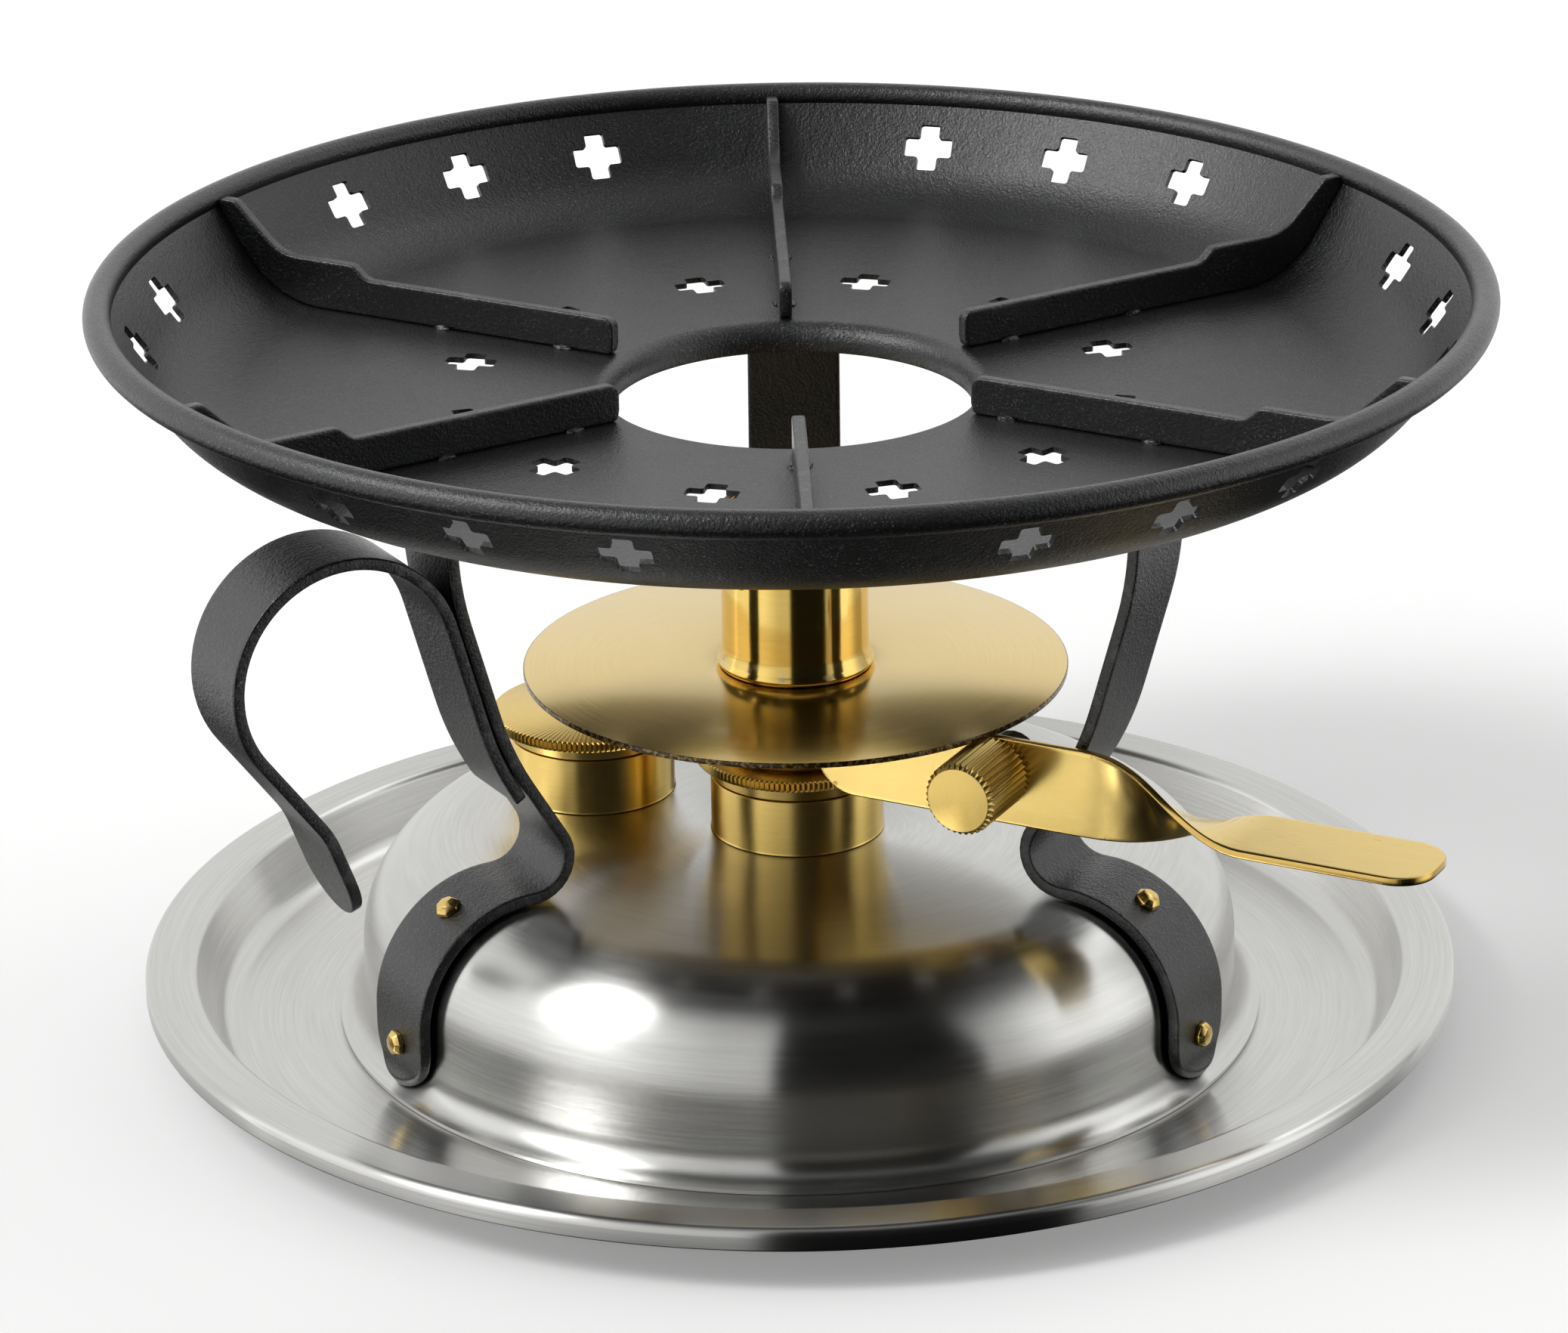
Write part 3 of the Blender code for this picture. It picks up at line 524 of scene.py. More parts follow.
def brushed_steel():
    made, tree, shader = new_material("brushed_steel_look", 1.0, anisotropic=0.96, anisotropic_rotation=0.25)
    fine = tree.turning_marks(2.2, 4.0)
    broad = tree.turning_marks(0.25, 2.5, detail=3.0)
    cloud = tree.noise(tree.place(), 28.0, 3.0)
    marks = tree.math("MULTIPLY_ADD", fine, 0.65, tree.math("MULTIPLY", broad, 0.35))
    tree.feed(shader.inputs["Base Color"], tree.mix(marks, (0.52, 0.517, 0.502), (0.82, 0.816, 0.797)))
    rough = tree.math("MULTIPLY_ADD", marks, 0.10, 0.15)
    tree.feed(shader.inputs["Roughness"], tree.math("MULTIPLY_ADD", cloud, 0.06, rough))
    tree.feed(shader.inputs["Normal"], tree.bump(fine, 0.010, 0.5))
    tangent = tree.add("Tangent", direction_type="RADIAL", axis="Z")
    tree.feed(shader.inputs["Tangent"], tangent.outputs[0])
    return made


def turned_brass(name, rough, grain, clear_coat):
    """Brass under clear lacquer, with turning marks round the piece's own z axis."""
    made, tree, shader = new_material(name, 1.0, coat_weight=clear_coat, coat_roughness=0.12,
                                      anisotropic=0.5, anisotropic_rotation=0.25)
    fine = tree.turning_marks(3.0, 3.0)
    cloud = tree.noise(tree.place(), 90.0, 3.0)
    dust = tree.noise(tree.place(), 2400.0, 2.0)
    tree.feed(shader.inputs["Base Color"], tree.mix(fine, (0.78, 0.56, 0.16), (0.92, 0.69, 0.27)))
    tone = tree.math("MULTIPLY_ADD", cloud, 0.06, rough)
    tree.feed(shader.inputs["Roughness"], tree.math("MULTIPLY_ADD", fine, 0.10, tone))
    height = tree.math("MULTIPLY_ADD", dust, grain, fine)
    tree.feed(shader.inputs["Normal"], tree.bump(height, 0.012, 0.5))
    tangent = tree.add("Tangent", direction_type="RADIAL", axis="Z")
    tree.feed(shader.inputs["Tangent"], tangent.outputs[0])
    return made


def disc_brass():
    """The wide disc: a bright turned top, a dull underside and a dark, rough cut edge."""
    made = turned_brass("disc_brass_look", 0.15, 0.3, 1.0)
    tree = Tree(made.node_tree)
    shader = made.node_tree.nodes["Principled BSDF"]
    top_colour = shader.inputs["Base Color"].links[0].from_socket
    top_rough = shader.inputs["Roughness"].links[0].from_socket
    point = tree.add("SeparateXYZ", {0: tree.place()})
    x, y, z = point.outputs
    radius = tree.math("SQRT", tree.math("ADD", tree.math("MULTIPLY", x, x), tree.math("MULTIPLY", y, y)))
    on_edge = tree.spread(radius, (DISC_RADIUS - 0.25) * MM, (DISC_RADIUS - 0.1) * MM)
    under = tree.spread(z, (DISC_TOP_Z - 0.7) * MM, (DISC_TOP_Z - 0.5) * MM, 1.0, 0.0)
    stain = tree.noise(tree.place(), 60.0, 4.0)
    tarnish = tree.mix(stain, (0.58, 0.53, 0.43), (0.74, 0.69, 0.57))
    grit = tree.noise(tree.place(), 1400.0, 3.0)
    cut_colour = tree.mix(tree.spread(grit, 0.45, 0.62), (0.10, 0.065, 0.025), (0.45, 0.31, 0.12))
    faces = tree.mix(under, top_colour, tarnish)
    tree.feed(shader.inputs["Base Color"], tree.mix(on_edge, faces, cut_colour))
    dull = tree.math("MULTIPLY", tree.math("MAXIMUM", under, on_edge), 0.35)
    tree.feed(shader.inputs["Roughness"], tree.math("ADD", top_rough, dull))
    return made


def strip_brass():
    """Flat brass strip: mill finish with faint lines along it, small nicks and abraded edges in a deeper
    brass colour.
    """
    made, tree, shader = new_material("strip_brass_look", 1.0, coat_weight=0.3, coat_roughness=0.2)
    along = {"Vector": tree.place(), "Scale": (60.0, 2500.0, 2500.0)}
    stretch = tree.add("Mapping", along, vector_type="POINT")
    lines = tree.noise(stretch.outputs[0], 1.0, 3.0)
    cloud = tree.noise(tree.place(), 120.0, 4.0)
    aslant = {"Vector": tree.place(), "Rotation": (0.2, 0.9, 0.3), "Scale": (260.0, 9000.0, 260.0)}
    slant = tree.add("Mapping", aslant)
    nick = tree.spread(tree.noise(slant.outputs[0], 1.0, 1.0), 0.74, 0.78)
    tone = tree.math("MULTIPLY_ADD", lines, 0.5, tree.math("MULTIPLY", cloud, 0.5))
    base = tree.mix(tone, (0.82, 0.60, 0.19), (0.95, 0.73, 0.31))
    edge_wear_sheen_mask = tree.add("Attribute", attribute_name="edge_wear_and_sheen").outputs["Fac"]
    edged = tree.mix(tree.math("MULTIPLY", edge_wear_sheen_mask, 0.6), base, (0.62, 0.40, 0.11))
    nicked = tree.mix(tree.math("MULTIPLY", nick, 0.6), edged, (0.30, 0.19, 0.05))
    tree.feed(shader.inputs["Base Color"], nicked)
    tree.feed(shader.inputs["Roughness"], tree.math("MULTIPLY_ADD", cloud, 0.12, 0.17))
    tree.feed(shader.inputs["Normal"], tree.bump(tree.math("MULTIPLY_ADD", nick, -2.0, lines), 0.01, 0.5))
    return made


def polished_brass():
    """The flame sleeve: bright tube with faint marks and solder blotches where it meets the disc."""
    made, tree, shader = new_material("polished_brass_look", 1.0, coat_weight=0.3, coat_roughness=0.05)
    fine = tree.turning_marks(1.2, 2.0, detail=2.0)
    blotch = tree.noise(tree.place(), 300.0, 3.0)
    point = tree.add("SeparateXYZ", {0: tree.place()})
    low = tree.spread(point.outputs[2], (DISC_TOP_Z + 1.2) * MM, (DISC_TOP_Z + 4.5) * MM, 1.0, 0.0)
    stained = tree.math("MULTIPLY", low, tree.spread(blotch, 0.5, 0.66))
    base = tree.mix(fine, (0.80, 0.57, 0.16), (0.90, 0.66, 0.23))
    soldered = tree.mix(tree.math("MULTIPLY", stained, 0.6), base, (0.80, 0.74, 0.55))
    tree.feed(shader.inputs["Base Color"], soldered)
    rough = tree.math("MULTIPLY_ADD", fine, 0.05, 0.10)
    tree.feed(shader.inputs["Roughness"], tree.math("MULTIPLY_ADD", stained, 0.2, rough))
    tree.feed(shader.inputs["Normal"], tree.bump(blotch, 0.02, 0.35))
    return made


def hammered_brass():
    made, tree, shader = new_material("rivet_brass_look", 1.0, coat_weight=0.3, coat_roughness=0.15)
    cloud = tree.noise(tree.place(), 900.0, 3.0)
    tree.feed(shader.inputs["Base Color"], tree.mix(cloud, (0.72, 0.50, 0.15), (0.90, 0.68, 0.28)))
    tree.feed(shader.inputs["Roughness"], tree.math("MULTIPLY_ADD", cloud, 0.2, 0.12))
    tree.feed(shader.inputs["Normal"], tree.bump(cloud, 0.05, 0.5))
    return made


def powder_coat():
    """Satin black powder coat: fine orange peel, tiny pale flecks that are partly real powder grain and
    partly painted sparkle glints, scuffs, and edges abraded paler, partly real abrasion and partly a painted
    edge highlight.
    """
    made, tree, shader = new_material("powder_coat_look", 0.0, specular_ior_level=0.7, coat_weight=0.8,
                                      coat_roughness=0.26)
    point = tree.place()
    peel = tree.noise(point, 1500.0, 2.0)
    swell = tree.noise(point, 420.0, 2.0)
    # Pale flecks in the colour: partly real powder grain, partly painted glints standing in for the coat's
    # sparkle.
    speck_glint_mask = tree.spread(tree.noise(point, 3000.0, 1.0), 0.63, 0.74)
    patch = tree.spread(tree.noise(point, 45.0, 3.0), 0.35, 0.7)
    specks_and_glints = tree.math("MULTIPLY", speck_glint_mask, tree.math("MULTIPLY_ADD", patch, 0.7, 0.25))
    aslant = {"Vector": point, "Rotation": (0.5, 0.3, 1.1), "Scale": (350.0, 7000.0, 500.0)}
    slant = tree.add("Mapping", aslant)
    scratch = tree.spread(tree.noise(slant.outputs[0], 1.0, 1.0), 0.79, 0.82)
    edge_wear_sheen_mask = tree.add("Attribute", attribute_name="edge_wear_and_sheen").outputs["Fac"]
    # Paler edges: partly real abrasion of the coat, partly a painted highlight standing in for the sheen
    # that rounded edges catch.
    rubbed_and_sheen_edges = tree.math("MULTIPLY", edge_wear_sheen_mask, tree.spread(tree.noise(point, 260.0, 4.0), 0.5, 0.72))
    base = tree.mix(tree.math("MULTIPLY", specks_and_glints, 0.5), (0.006, 0.0065, 0.0075), (0.30, 0.31, 0.33))
    base = tree.mix(tree.math("MULTIPLY", rubbed_and_sheen_edges, 0.5), base, (0.10, 0.10, 0.105))
    scuffed = tree.mix(tree.math("MULTIPLY", scratch, 0.5), base, (0.35, 0.35, 0.35))
    tree.feed(shader.inputs["Base Color"], scuffed)
    grain = tree.noise(point, 1900.0, 3.0, 0.7)
    rough = tree.math("MULTIPLY_ADD", patch, 0.05, 0.22)
    tree.feed(shader.inputs["Roughness"], tree.math("MULTIPLY_ADD", grain, 0.30, rough))
    height = tree.math("MULTIPLY_ADD", swell, 1.0, tree.math("MULTIPLY_ADD", grain, 1.6, peel))
    relief = tree.bump(height, 0.10, 0.85)
    tree.feed(shader.inputs["Normal"], relief)
    tree.feed(shader.inputs["Coat Normal"], relief)
    return made


def plain_look(name, dark, light, roughness, scale, metallic=0.0, relief=0.05):
    """A mottled material for the small pieces that hardly show."""
    made, tree, shader = new_material(name, metallic)
    cloud = tree.noise(tree.place(), scale, 4.0)
    tree.feed(shader.inputs["Base Color"], tree.mix(cloud, dark, light))
    tree.feed(shader.inputs["Roughness"], tree.math("MULTIPLY_ADD", cloud, 0.2, roughness - 0.1))
    tree.feed(shader.inputs["Normal"], tree.bump(cloud, relief, 0.6))
    return made


def woven_gauze():
    """Fine steel gauze: two sets of wires over and under each other."""
    made, tree, shader = new_material("steel_gauze_look", 1.0)
    point = tree.add("SeparateXYZ", {0: tree.place()})
    wires = []
    for way in point.outputs[:2]:
        wires.append(tree.math("ABSOLUTE", tree.math("SINE", tree.math("MULTIPLY", way, 4500.0))))
    height = tree.math("MAXIMUM", *wires)
    # The near-black colour between the wires is painted shade, standing in for the dark inside of the tube
    # seen through the open weave.
    tree.feed(shader.inputs["Base Color"], tree.mix(height, (0.02, 0.02, 0.02), (0.50, 0.47, 0.43)))
    tree.feed(shader.inputs["Roughness"], tree.math("MULTIPLY_ADD", height, -0.3, 0.7))
    tree.feed(shader.inputs["Normal"], tree.bump(height, 0.2, 1.0))
    return made


# ---------------------------------------------------------------- tray and tank


def make_tray(look):
    inner = TRAY_RADIUS - TRAY_FLANGE
    outer = TRAY_RADIUS - TRAY_SHEET
    lip_z = TRAY_RIM_Z - TRAY_LIP
    under = rounded([
        (0.0, 0.0, 0),
        (TRAY_FLOOR_RADIUS, 0.0, 4.8),
        (inner, TRAY_RIM_Z - TRAY_SHEET, 1.2),
        (outer, TRAY_RIM_Z - TRAY_SHEET, 0.8),
        (outer, lip_z, 0.1),
        (TRAY_RADIUS - TRAY_SHEET / 2, lip_z, 0),
    ])
    top = rounded([
        (TRAY_RADIUS - TRAY_SHEET / 2, lip_z, 0),
        (TRAY_RADIUS, lip_z, 0.3),
        (TRAY_RADIUS, TRAY_RIM_Z, 1.6),
        (inner - 0.5, TRAY_RIM_Z, 2.0),
        (TRAY_FLOOR_RADIUS - 0.5, TRAY_SHEET, 4.0),
        (0.0, TRAY_SHEET, 0),
    ])
    in_place(lathe("tray_shell", under + top[1:], look), "stand", "brushed_stainless", "drip_tray")


def make_dome(look):
    sheet = TANK_SHEET
    shoulder = (TANK_RADIUS - TANK_SHOULDER, TANK_TOP_Z - TANK_SHOULDER)
    foot = (TANK_RADIUS + TANK_FLARE, TANK_BRIM_Z + TANK_FLARE)
    foot_end = 180 + math.degrees(math.acos((foot[0] - TANK_BRIM_RADIUS) / TANK_FLARE))
    hole = BURNER_TUBE_RADIUS + 1.6
    outer = [(hole, TANK_TOP_Z)] + arc(shoulder, TANK_SHOULDER, 90, 0, 24)
    outer += arc(foot, TANK_FLARE, 180, foot_end, 12)
    inner = arc(foot, TANK_FLARE + sheet, foot_end, 180, 12)
    inner += arc(shoulder, TANK_SHOULDER - sheet, 0, 90, 24)
    dome = lathe("tank_shell", outer + inner + [(hole, TANK_TOP_Z - sheet)], look)
    bm = bmesh.new()
    filler = Matrix.Translation((FILLER_X, FILLER_Y, TANK_TOP_Z))
    prism(bm, arc((0, 0), FILLER_NECK_RADIUS - 2.7, 0, 360, 48)[:-1], filler, -3.0, 3.0)
    cut(dome, bm)
    in_place(dome, "stand", "brushed_stainless", "tank_dome")


# ---------------------------------------------------------------- necks and their caps


def neck_outline(radius, spigot, bore):
    base = TANK_TOP_Z + FIT / 3
    return rounded([
        (bore, TANK_TOP_Z, 0),
        (bore, TANK_TOP_Z - 3.5, 0.1),
        (bore + 1.0, TANK_TOP_Z - 3.5, 0.1),
        (bore + 1.0, base, 0.1),
        (radius + 0.25, base, 0.1),
        (radius, base + 0.35, 0.2),
        (radius, NECK_JOINT_Z, 0.2),
        (spigot, NECK_JOINT_Z, 0.05),
        (spigot, NECK_JOINT_Z + 1.0, 0.1),
        (bore, NECK_JOINT_Z + 1.0, 0.1),
        (bore, TANK_TOP_Z, 0),
    ], step=30)[:-1]


def cap_rim(radius, inner):
    """Outline of a collar's or cap's skirt and knurled flange, from its foot up to the flange top."""
    knurl_z = CAP_TOP_Z - CAP_KNURL_HEIGHT
    return [
        (inner, NECK_JOINT_Z + FIT, 0.05),
        (radius, NECK_JOINT_Z + FIT, 0.15),
        (radius, knurl_z, 0.15),
        (CAP_KNURL_RADIUS - CAP_CHAMFER, knurl_z, 0.05),
        (CAP_KNURL_RADIUS, knurl_z + 0.3, 0.1),
        (CAP_KNURL_RADIUS, CAP_TOP_Z - 0.3, 0.1),
        (CAP_KNURL_RADIUS - CAP_CHAMFER, CAP_TOP_Z, 0.05),
    ]


def make_burner_neck(look):
    radius = BURNER_NECK_RADIUS
    spigot = radius - 1.2 - FIT
    neck = lathe("burner_neck_turned", neck_outline(radius, spigot, BURNER_TUBE_RADIUS + FIT), look)
    in_place(neck, "stand", "satin_brass", "burner_neck")
    clamp = BURNER_TUBE_RADIUS + 1.3
    inner = radius - 1.2
    outline = rounded([
        (inner, CAP_TOP_Z - 2.0, 0),
        *cap_rim(radius, inner),
        (clamp, CAP_TOP_Z, 0.2),
        (clamp, CAP_TOP_Z - 1.2, 0.05),
        (inner, CAP_TOP_Z - 1.2, 0.05),
        (inner, CAP_TOP_Z - 2.0, 0),
    ], step=30)[:-1]
    collar = lathe("burner_collar_turned", outline, look, CAP_TEETH * 4, CAP_TEETH, CAP_ROOT_RADIUS)
    in_place(collar, "burner_collar", "satin_brass", "burner_collar")


def make_filler(look):
    radius = FILLER_NECK_RADIUS
    inner = radius - 1.2
    seal_top = NECK_JOINT_Z + 2.5 + FIT
    neck = lathe("filler_neck_turned", neck_outline(radius, radius - 1.2 - FIT, radius - 4.0), look)
    cap = lathe("filler_cap_turned", rounded([
        (0.0, seal_top, 0),
        (inner, seal_top, 0.05),
        *cap_rim(radius, inner),
        (0.0, CAP_TOP_Z, 0),
    ], step=30), look, CAP_TEETH * 4, CAP_TEETH, CAP_ROOT_RADIUS)
    for piece in (neck, cap):
        piece.location = (FILLER_X * MM, FILLER_Y * MM, 0)
    in_place(neck, "stand", "satin_brass", "filler_neck")
    in_place(cap, "filler_cap", "satin_brass", "filler_cap")


# ---------------------------------------------------------------- burner and regulator


def make_burner(polished, gauze):
    flange_z = NECK_JOINT_Z + 2.4
    tube = lathe("burner_tube_turned", rounded([
        (BURNER_BORE, 40.0, 0),
        (BURNER_BORE, 8.0, 0.2),
        (BURNER_TUBE_RADIUS, 8.0, 0.2),
        (BURNER_TUBE_RADIUS, flange_z, 0.05),
        (BURNER_NECK_RADIUS - 1.5, flange_z, 0.1),
        (BURNER_NECK_RADIUS - 1.5, flange_z + 1.0, 0.1),
        (BURNER_TUBE_RADIUS, flange_z + 1.0, 0.05),
        (BURNER_TUBE_RADIUS, BURNER_TUBE_TOP_Z, 0.3),
        (BURNER_BORE, BURNER_TUBE_TOP_Z, 0.3),
        (BURNER_BORE, 40.0, 0),
    ], step=30)[:-1], polished, SMALL_STEPS)
    cut(tube, port_cutters())
    in_place(tube, "burner", "polished_brass", "burner_tube")
    top = lathe("flame_gauze_domed", [
        (0.0, BURNER_TUBE_TOP_Z - 2.0),
        (BURNER_BORE - FIT, BURNER_TUBE_TOP_Z - 3.0),
        (BURNER_BORE - FIT, BURNER_TUBE_TOP_Z - 2.2),
        (BURNER_BORE - 2.0, BURNER_TUBE_TOP_Z - 1.6),
        (BURNER_BORE / 2, BURNER_TUBE_TOP_Z - 1.1),
        (0.0, BURNER_TUBE_TOP_Z - 0.9),
    ], gauze, SMALL_STEPS)
    in_place(top, "burner", "steel_gauze", "flame_gauze")


def port_cutters():
    """Three blocks with round corners that cut the flame ports through a tube wall."""
    bm = bmesh.new()
    half_width = PORT_WIDTH / 2
    half_height = PORT_HEIGHT / 2
    window = rounded([
        (0.0, -half_height, 0),
        (half_width, -half_height, 1.5),
        (half_width, half_height, 1.5),
        (-half_width, half_height, 1.5),
        (-half_width, -half_height, 1.5),
        (0.0, -half_height, 0),
    ], step=15)[:-1]
    upright = Matrix.Rotation(math.pi / 2, 4, "X") @ Matrix.Rotation(math.pi / 2, 4, "Y")
    for i in range(3):
        turn = Matrix.Rotation(math.tau * i / 3, 4, "Z")
        prism(bm, window, turn @ Matrix.Translation((0, 0, PORT_Z)) @ upright, 5.0, 20.0)
    return bm


def make_regulator(turned, disc_look, polished):
    lever_turn = Matrix.Rotation(math.radians(LEVER_AZIMUTH), 4, "Z")
    under = DISC_TOP_Z - DISC_SHEET
    hub = lathe("regulator_hub_turned", rounded([
        (SLEEVE_BORE, CAP_TOP_Z + 6.0, 0),
        (SLEEVE_BORE, CAP_TOP_Z + 0.4, 0.2),
        (HUB_RADIUS - 0.8, CAP_TOP_Z + 0.4, 0.2),
        (HUB_RADIUS, CAP_TOP_Z + 1.2, 0.3),
        (HUB_RADIUS, under - FIT, 0.1),
        (SLEEVE_BORE, under - FIT, 0.1),
        (SLEEVE_BORE, CAP_TOP_Z + 6.0, 0),
    ], step=20)[:-1], turned)
    disc = lathe("regulator_disc_turned", rounded([
        (SLEEVE_BORE + 6.0, DISC_TOP_Z, 0),
        (SLEEVE_BORE, DISC_TOP_Z, 0.1),
        (SLEEVE_BORE, under, 0.1),
        (DISC_RADIUS, under, 0.15),
        (DISC_RADIUS, DISC_TOP_Z, 0.15),
        (SLEEVE_BORE + 6.0, DISC_TOP_Z, 0),
    ], step=30)[:-1], disc_look)
    base = DISC_TOP_Z + FIT / 3
    sleeve = lathe("regulator_sleeve_turned", rounded([
        (SLEEVE_BORE, base + 12.0, 0),
        (SLEEVE_BORE, base, 0.1),
        (SLEEVE_FLARE - 0.5, base, 0.3),
        (SLEEVE_FLARE, base + 0.9, 0.5),
        (SLEEVE_FLARE - 0.5, base + 1.9, 0.6),
        (SLEEVE_RADIUS, base + 3.6, 3.0),
        (SLEEVE_RADIUS, SLEEVE_TOP_Z, 0.4),
        (SLEEVE_BORE, SLEEVE_TOP_Z, 0.4),
        (SLEEVE_BORE, base + 12.0, 0),
    ], step=8)[:-1], polished)
    cut(sleeve, port_cutters())
    for piece, node, slot in ((hub, "regulator_hub", "satin_brass"), (disc, "regulator_disc", "satin_brass"),
                              (sleeve, "regulator_sleeve", "polished_brass")):
        piece.matrix_world = lever_turn
        in_place(piece, "regulator", slot, node)


def make_lever(look, screw_look):
    towards_front = Vector((0, -1, 0))
    upwards = Vector((0, 0, 1))

    def twist(s):
        return eased((LEVER_INNER + s - LEVER_TWIST_FROM) / (LEVER_TWIST_TO - LEVER_TWIST_FROM))

    def half_width(s):
        return (LEVER_WIDTH + (PADDLE_WIDTH - LEVER_WIDTH) * twist(s)) / 2

    def place(s, across, height):
        turn = 90 * twist(s)
        wide = upwards * cosd(turn) + towards_front * sind(turn)
        out = towards_front * cosd(turn) - upwards * sind(turn)
        mid_z = LEVER_MID_Z + (PADDLE_MID_Z - LEVER_MID_Z) * twist(s)
        return Vector((LEVER_INNER + s, -LEVER_OFFSET, mid_z)) + wide * across + out * height

    lever_turn = Matrix.Rotation(math.radians(LEVER_AZIMUTH), 4, "Z")
    ends = (LEVER_WIDTH / 2, PADDLE_CORNER)
    lever = sheet_strip("regulator_lever_strip", LEVER_END - LEVER_INNER, half_width, ends, LEVER_SHEET,
                        STRIP_EDGE, look, place)
    lever.matrix_world = lever_turn
    in_place(lever, "regulator", "satin_brass", "regulator_lever")

    head_back = LEVER_OFFSET + LEVER_SHEET / 2 + FIT / 3
    head_front = LEVER_OFFSET + LEVER_SHEET / 2 + FIT + SCREW_HEAD_LENGTH
    shank_end = LEVER_OFFSET - LEVER_SHEET / 2 - 2 * FIT - 1.5 - 5.0 - 1.0
    screw = lathe("thumb_screw_turned", rounded([
        (0.0, shank_end, 0),
        (SCREW_SHANK_RADIUS, shank_end, 0.4),
        (SCREW_SHANK_RADIUS, head_back, 0.1),
        (SCREW_HEAD_RADIUS - 0.8, head_back, 0.2),
        (SCREW_HEAD_RADIUS, head_back + 0.8, 0.2),
        (SCREW_HEAD_RADIUS, head_front - 1.0, 0.2),
        (SCREW_HEAD_RADIUS - 0.9, head_front, 0.2),
        (0.0, head_front + 0.05, 0),
    ], step=20), screw_look, SCREW_TEETH * 8, SCREW_TEETH, SCREW_HEAD_RADIUS - 0.55)
    facing = Matrix.Rotation(math.pi / 2, 4, "X")
    screw.matrix_world = lever_turn @ Matrix.Translation(Vector((SCREW_X, 0, SCREW_Z)) * MM) @ facing
    in_place(screw, "thumb_screw", "satin_brass", "thumb_screw")


# ---------------------------------------------------------------- pan-support dish


def cross_outline():
    arm = CROSS_ARM / 2
    tip = CROSS_SPAN / 2
    ring = [(arm, arm), (arm, tip), (-arm, tip), (-arm, arm), (-tip, arm), (-tip, -arm),
            (-arm, -arm), (-arm, -tip), (arm, -tip), (arm, -arm), (tip, -arm), (tip, arm)]
    middle = ((arm + tip) / 2, arm, 0)
    return rounded([middle] + [(x, y, CROSS_CORNER) for x, y in ring] + [middle], step=22)[:-1]


def cross_cutters():
    bm = bmesh.new()
    outline = cross_outline()
    wall_x = DISH_FLAT_RADIUS + DISH_CURVE * sind(DISH_WALL_SLOPE) + WALL_CROSS_RISE * cosd(DISH_WALL_SLOPE)
    curved_z = DISH_FLOOR_Z - DISH_SHEET + DISH_CURVE * (1 - cosd(DISH_WALL_SLOPE))
    wall = Vector((wall_x, 0, curved_z + WALL_CROSS_RISE * sind(DISH_WALL_SLOPE)))
    tilt = Matrix.Rotation(math.radians(-DISH_WALL_SLOPE), 4, "Y")
    for sector in range(RIB_COUNT):
        rib = 90 + 60 * sector + DISH_TURN
        for side in (15, 45):
            turn = Matrix.Rotation(math.radians(rib + side), 4, "Z")
            prism(bm, outline, turn @ Matrix.Translation((FLOOR_CROSS_RADIUS, 0, DISH_FLOOR_Z)), -3.0, 3.0)
        for step in (-1, 0, 1):
            azimuth = rib + WALL_CROSS_TURN + step * WALL_CROSS_SPACING
            turn = Matrix.Rotation(math.radians(azimuth), 4, "Z")
            prism(bm, outline, turn @ Matrix.Translation(wall) @ tilt, -3.0, 3.5)
    return bm


def make_dish(look):
    under_z = DISH_FLOOR_Z - DISH_SHEET
    curve_centre = (DISH_FLAT_RADIUS, under_z + DISH_CURVE)
    wall_end = DISH_WALL_SLOPE - 90
    bead = (DISH_RADIUS - DISH_BEAD, DISH_RIM_Z - DISH_BEAD)
    roll_centre = (DISH_HOLE_RADIUS + DISH_LIP_ROLL, DISH_FLOOR_Z - DISH_LIP_ROLL)
    outline = rounded([
        (DISH_HOLE_RADIUS, DISH_LIP_Z + 1.0, 0),
        (DISH_HOLE_RADIUS, DISH_LIP_Z, 0.3),
        (DISH_HOLE_RADIUS + DISH_SHEET, DISH_LIP_Z, 0.3),
        (DISH_HOLE_RADIUS + DISH_SHEET, DISH_LIP_Z + 1.0, 0),
    ], step=30)
    outline += arc(roll_centre, DISH_LIP_ROLL - DISH_SHEET, 180, 90, 12)
    outline += arc(curve_centre, DISH_CURVE, -90, wall_end, 16)
    outline += arc(bead, DISH_BEAD, -132, 202, 32)
    outline += arc(curve_centre, DISH_CURVE - DISH_SHEET, wall_end, -90, 16)
    outline += arc(roll_centre, DISH_LIP_ROLL, 90, 180, 12)
    dish = lathe("support_dish_spun", outline, look)
    cut(dish, cross_cutters())
    in_place(dish, "stand", "black_powder_coat", "support_dish")


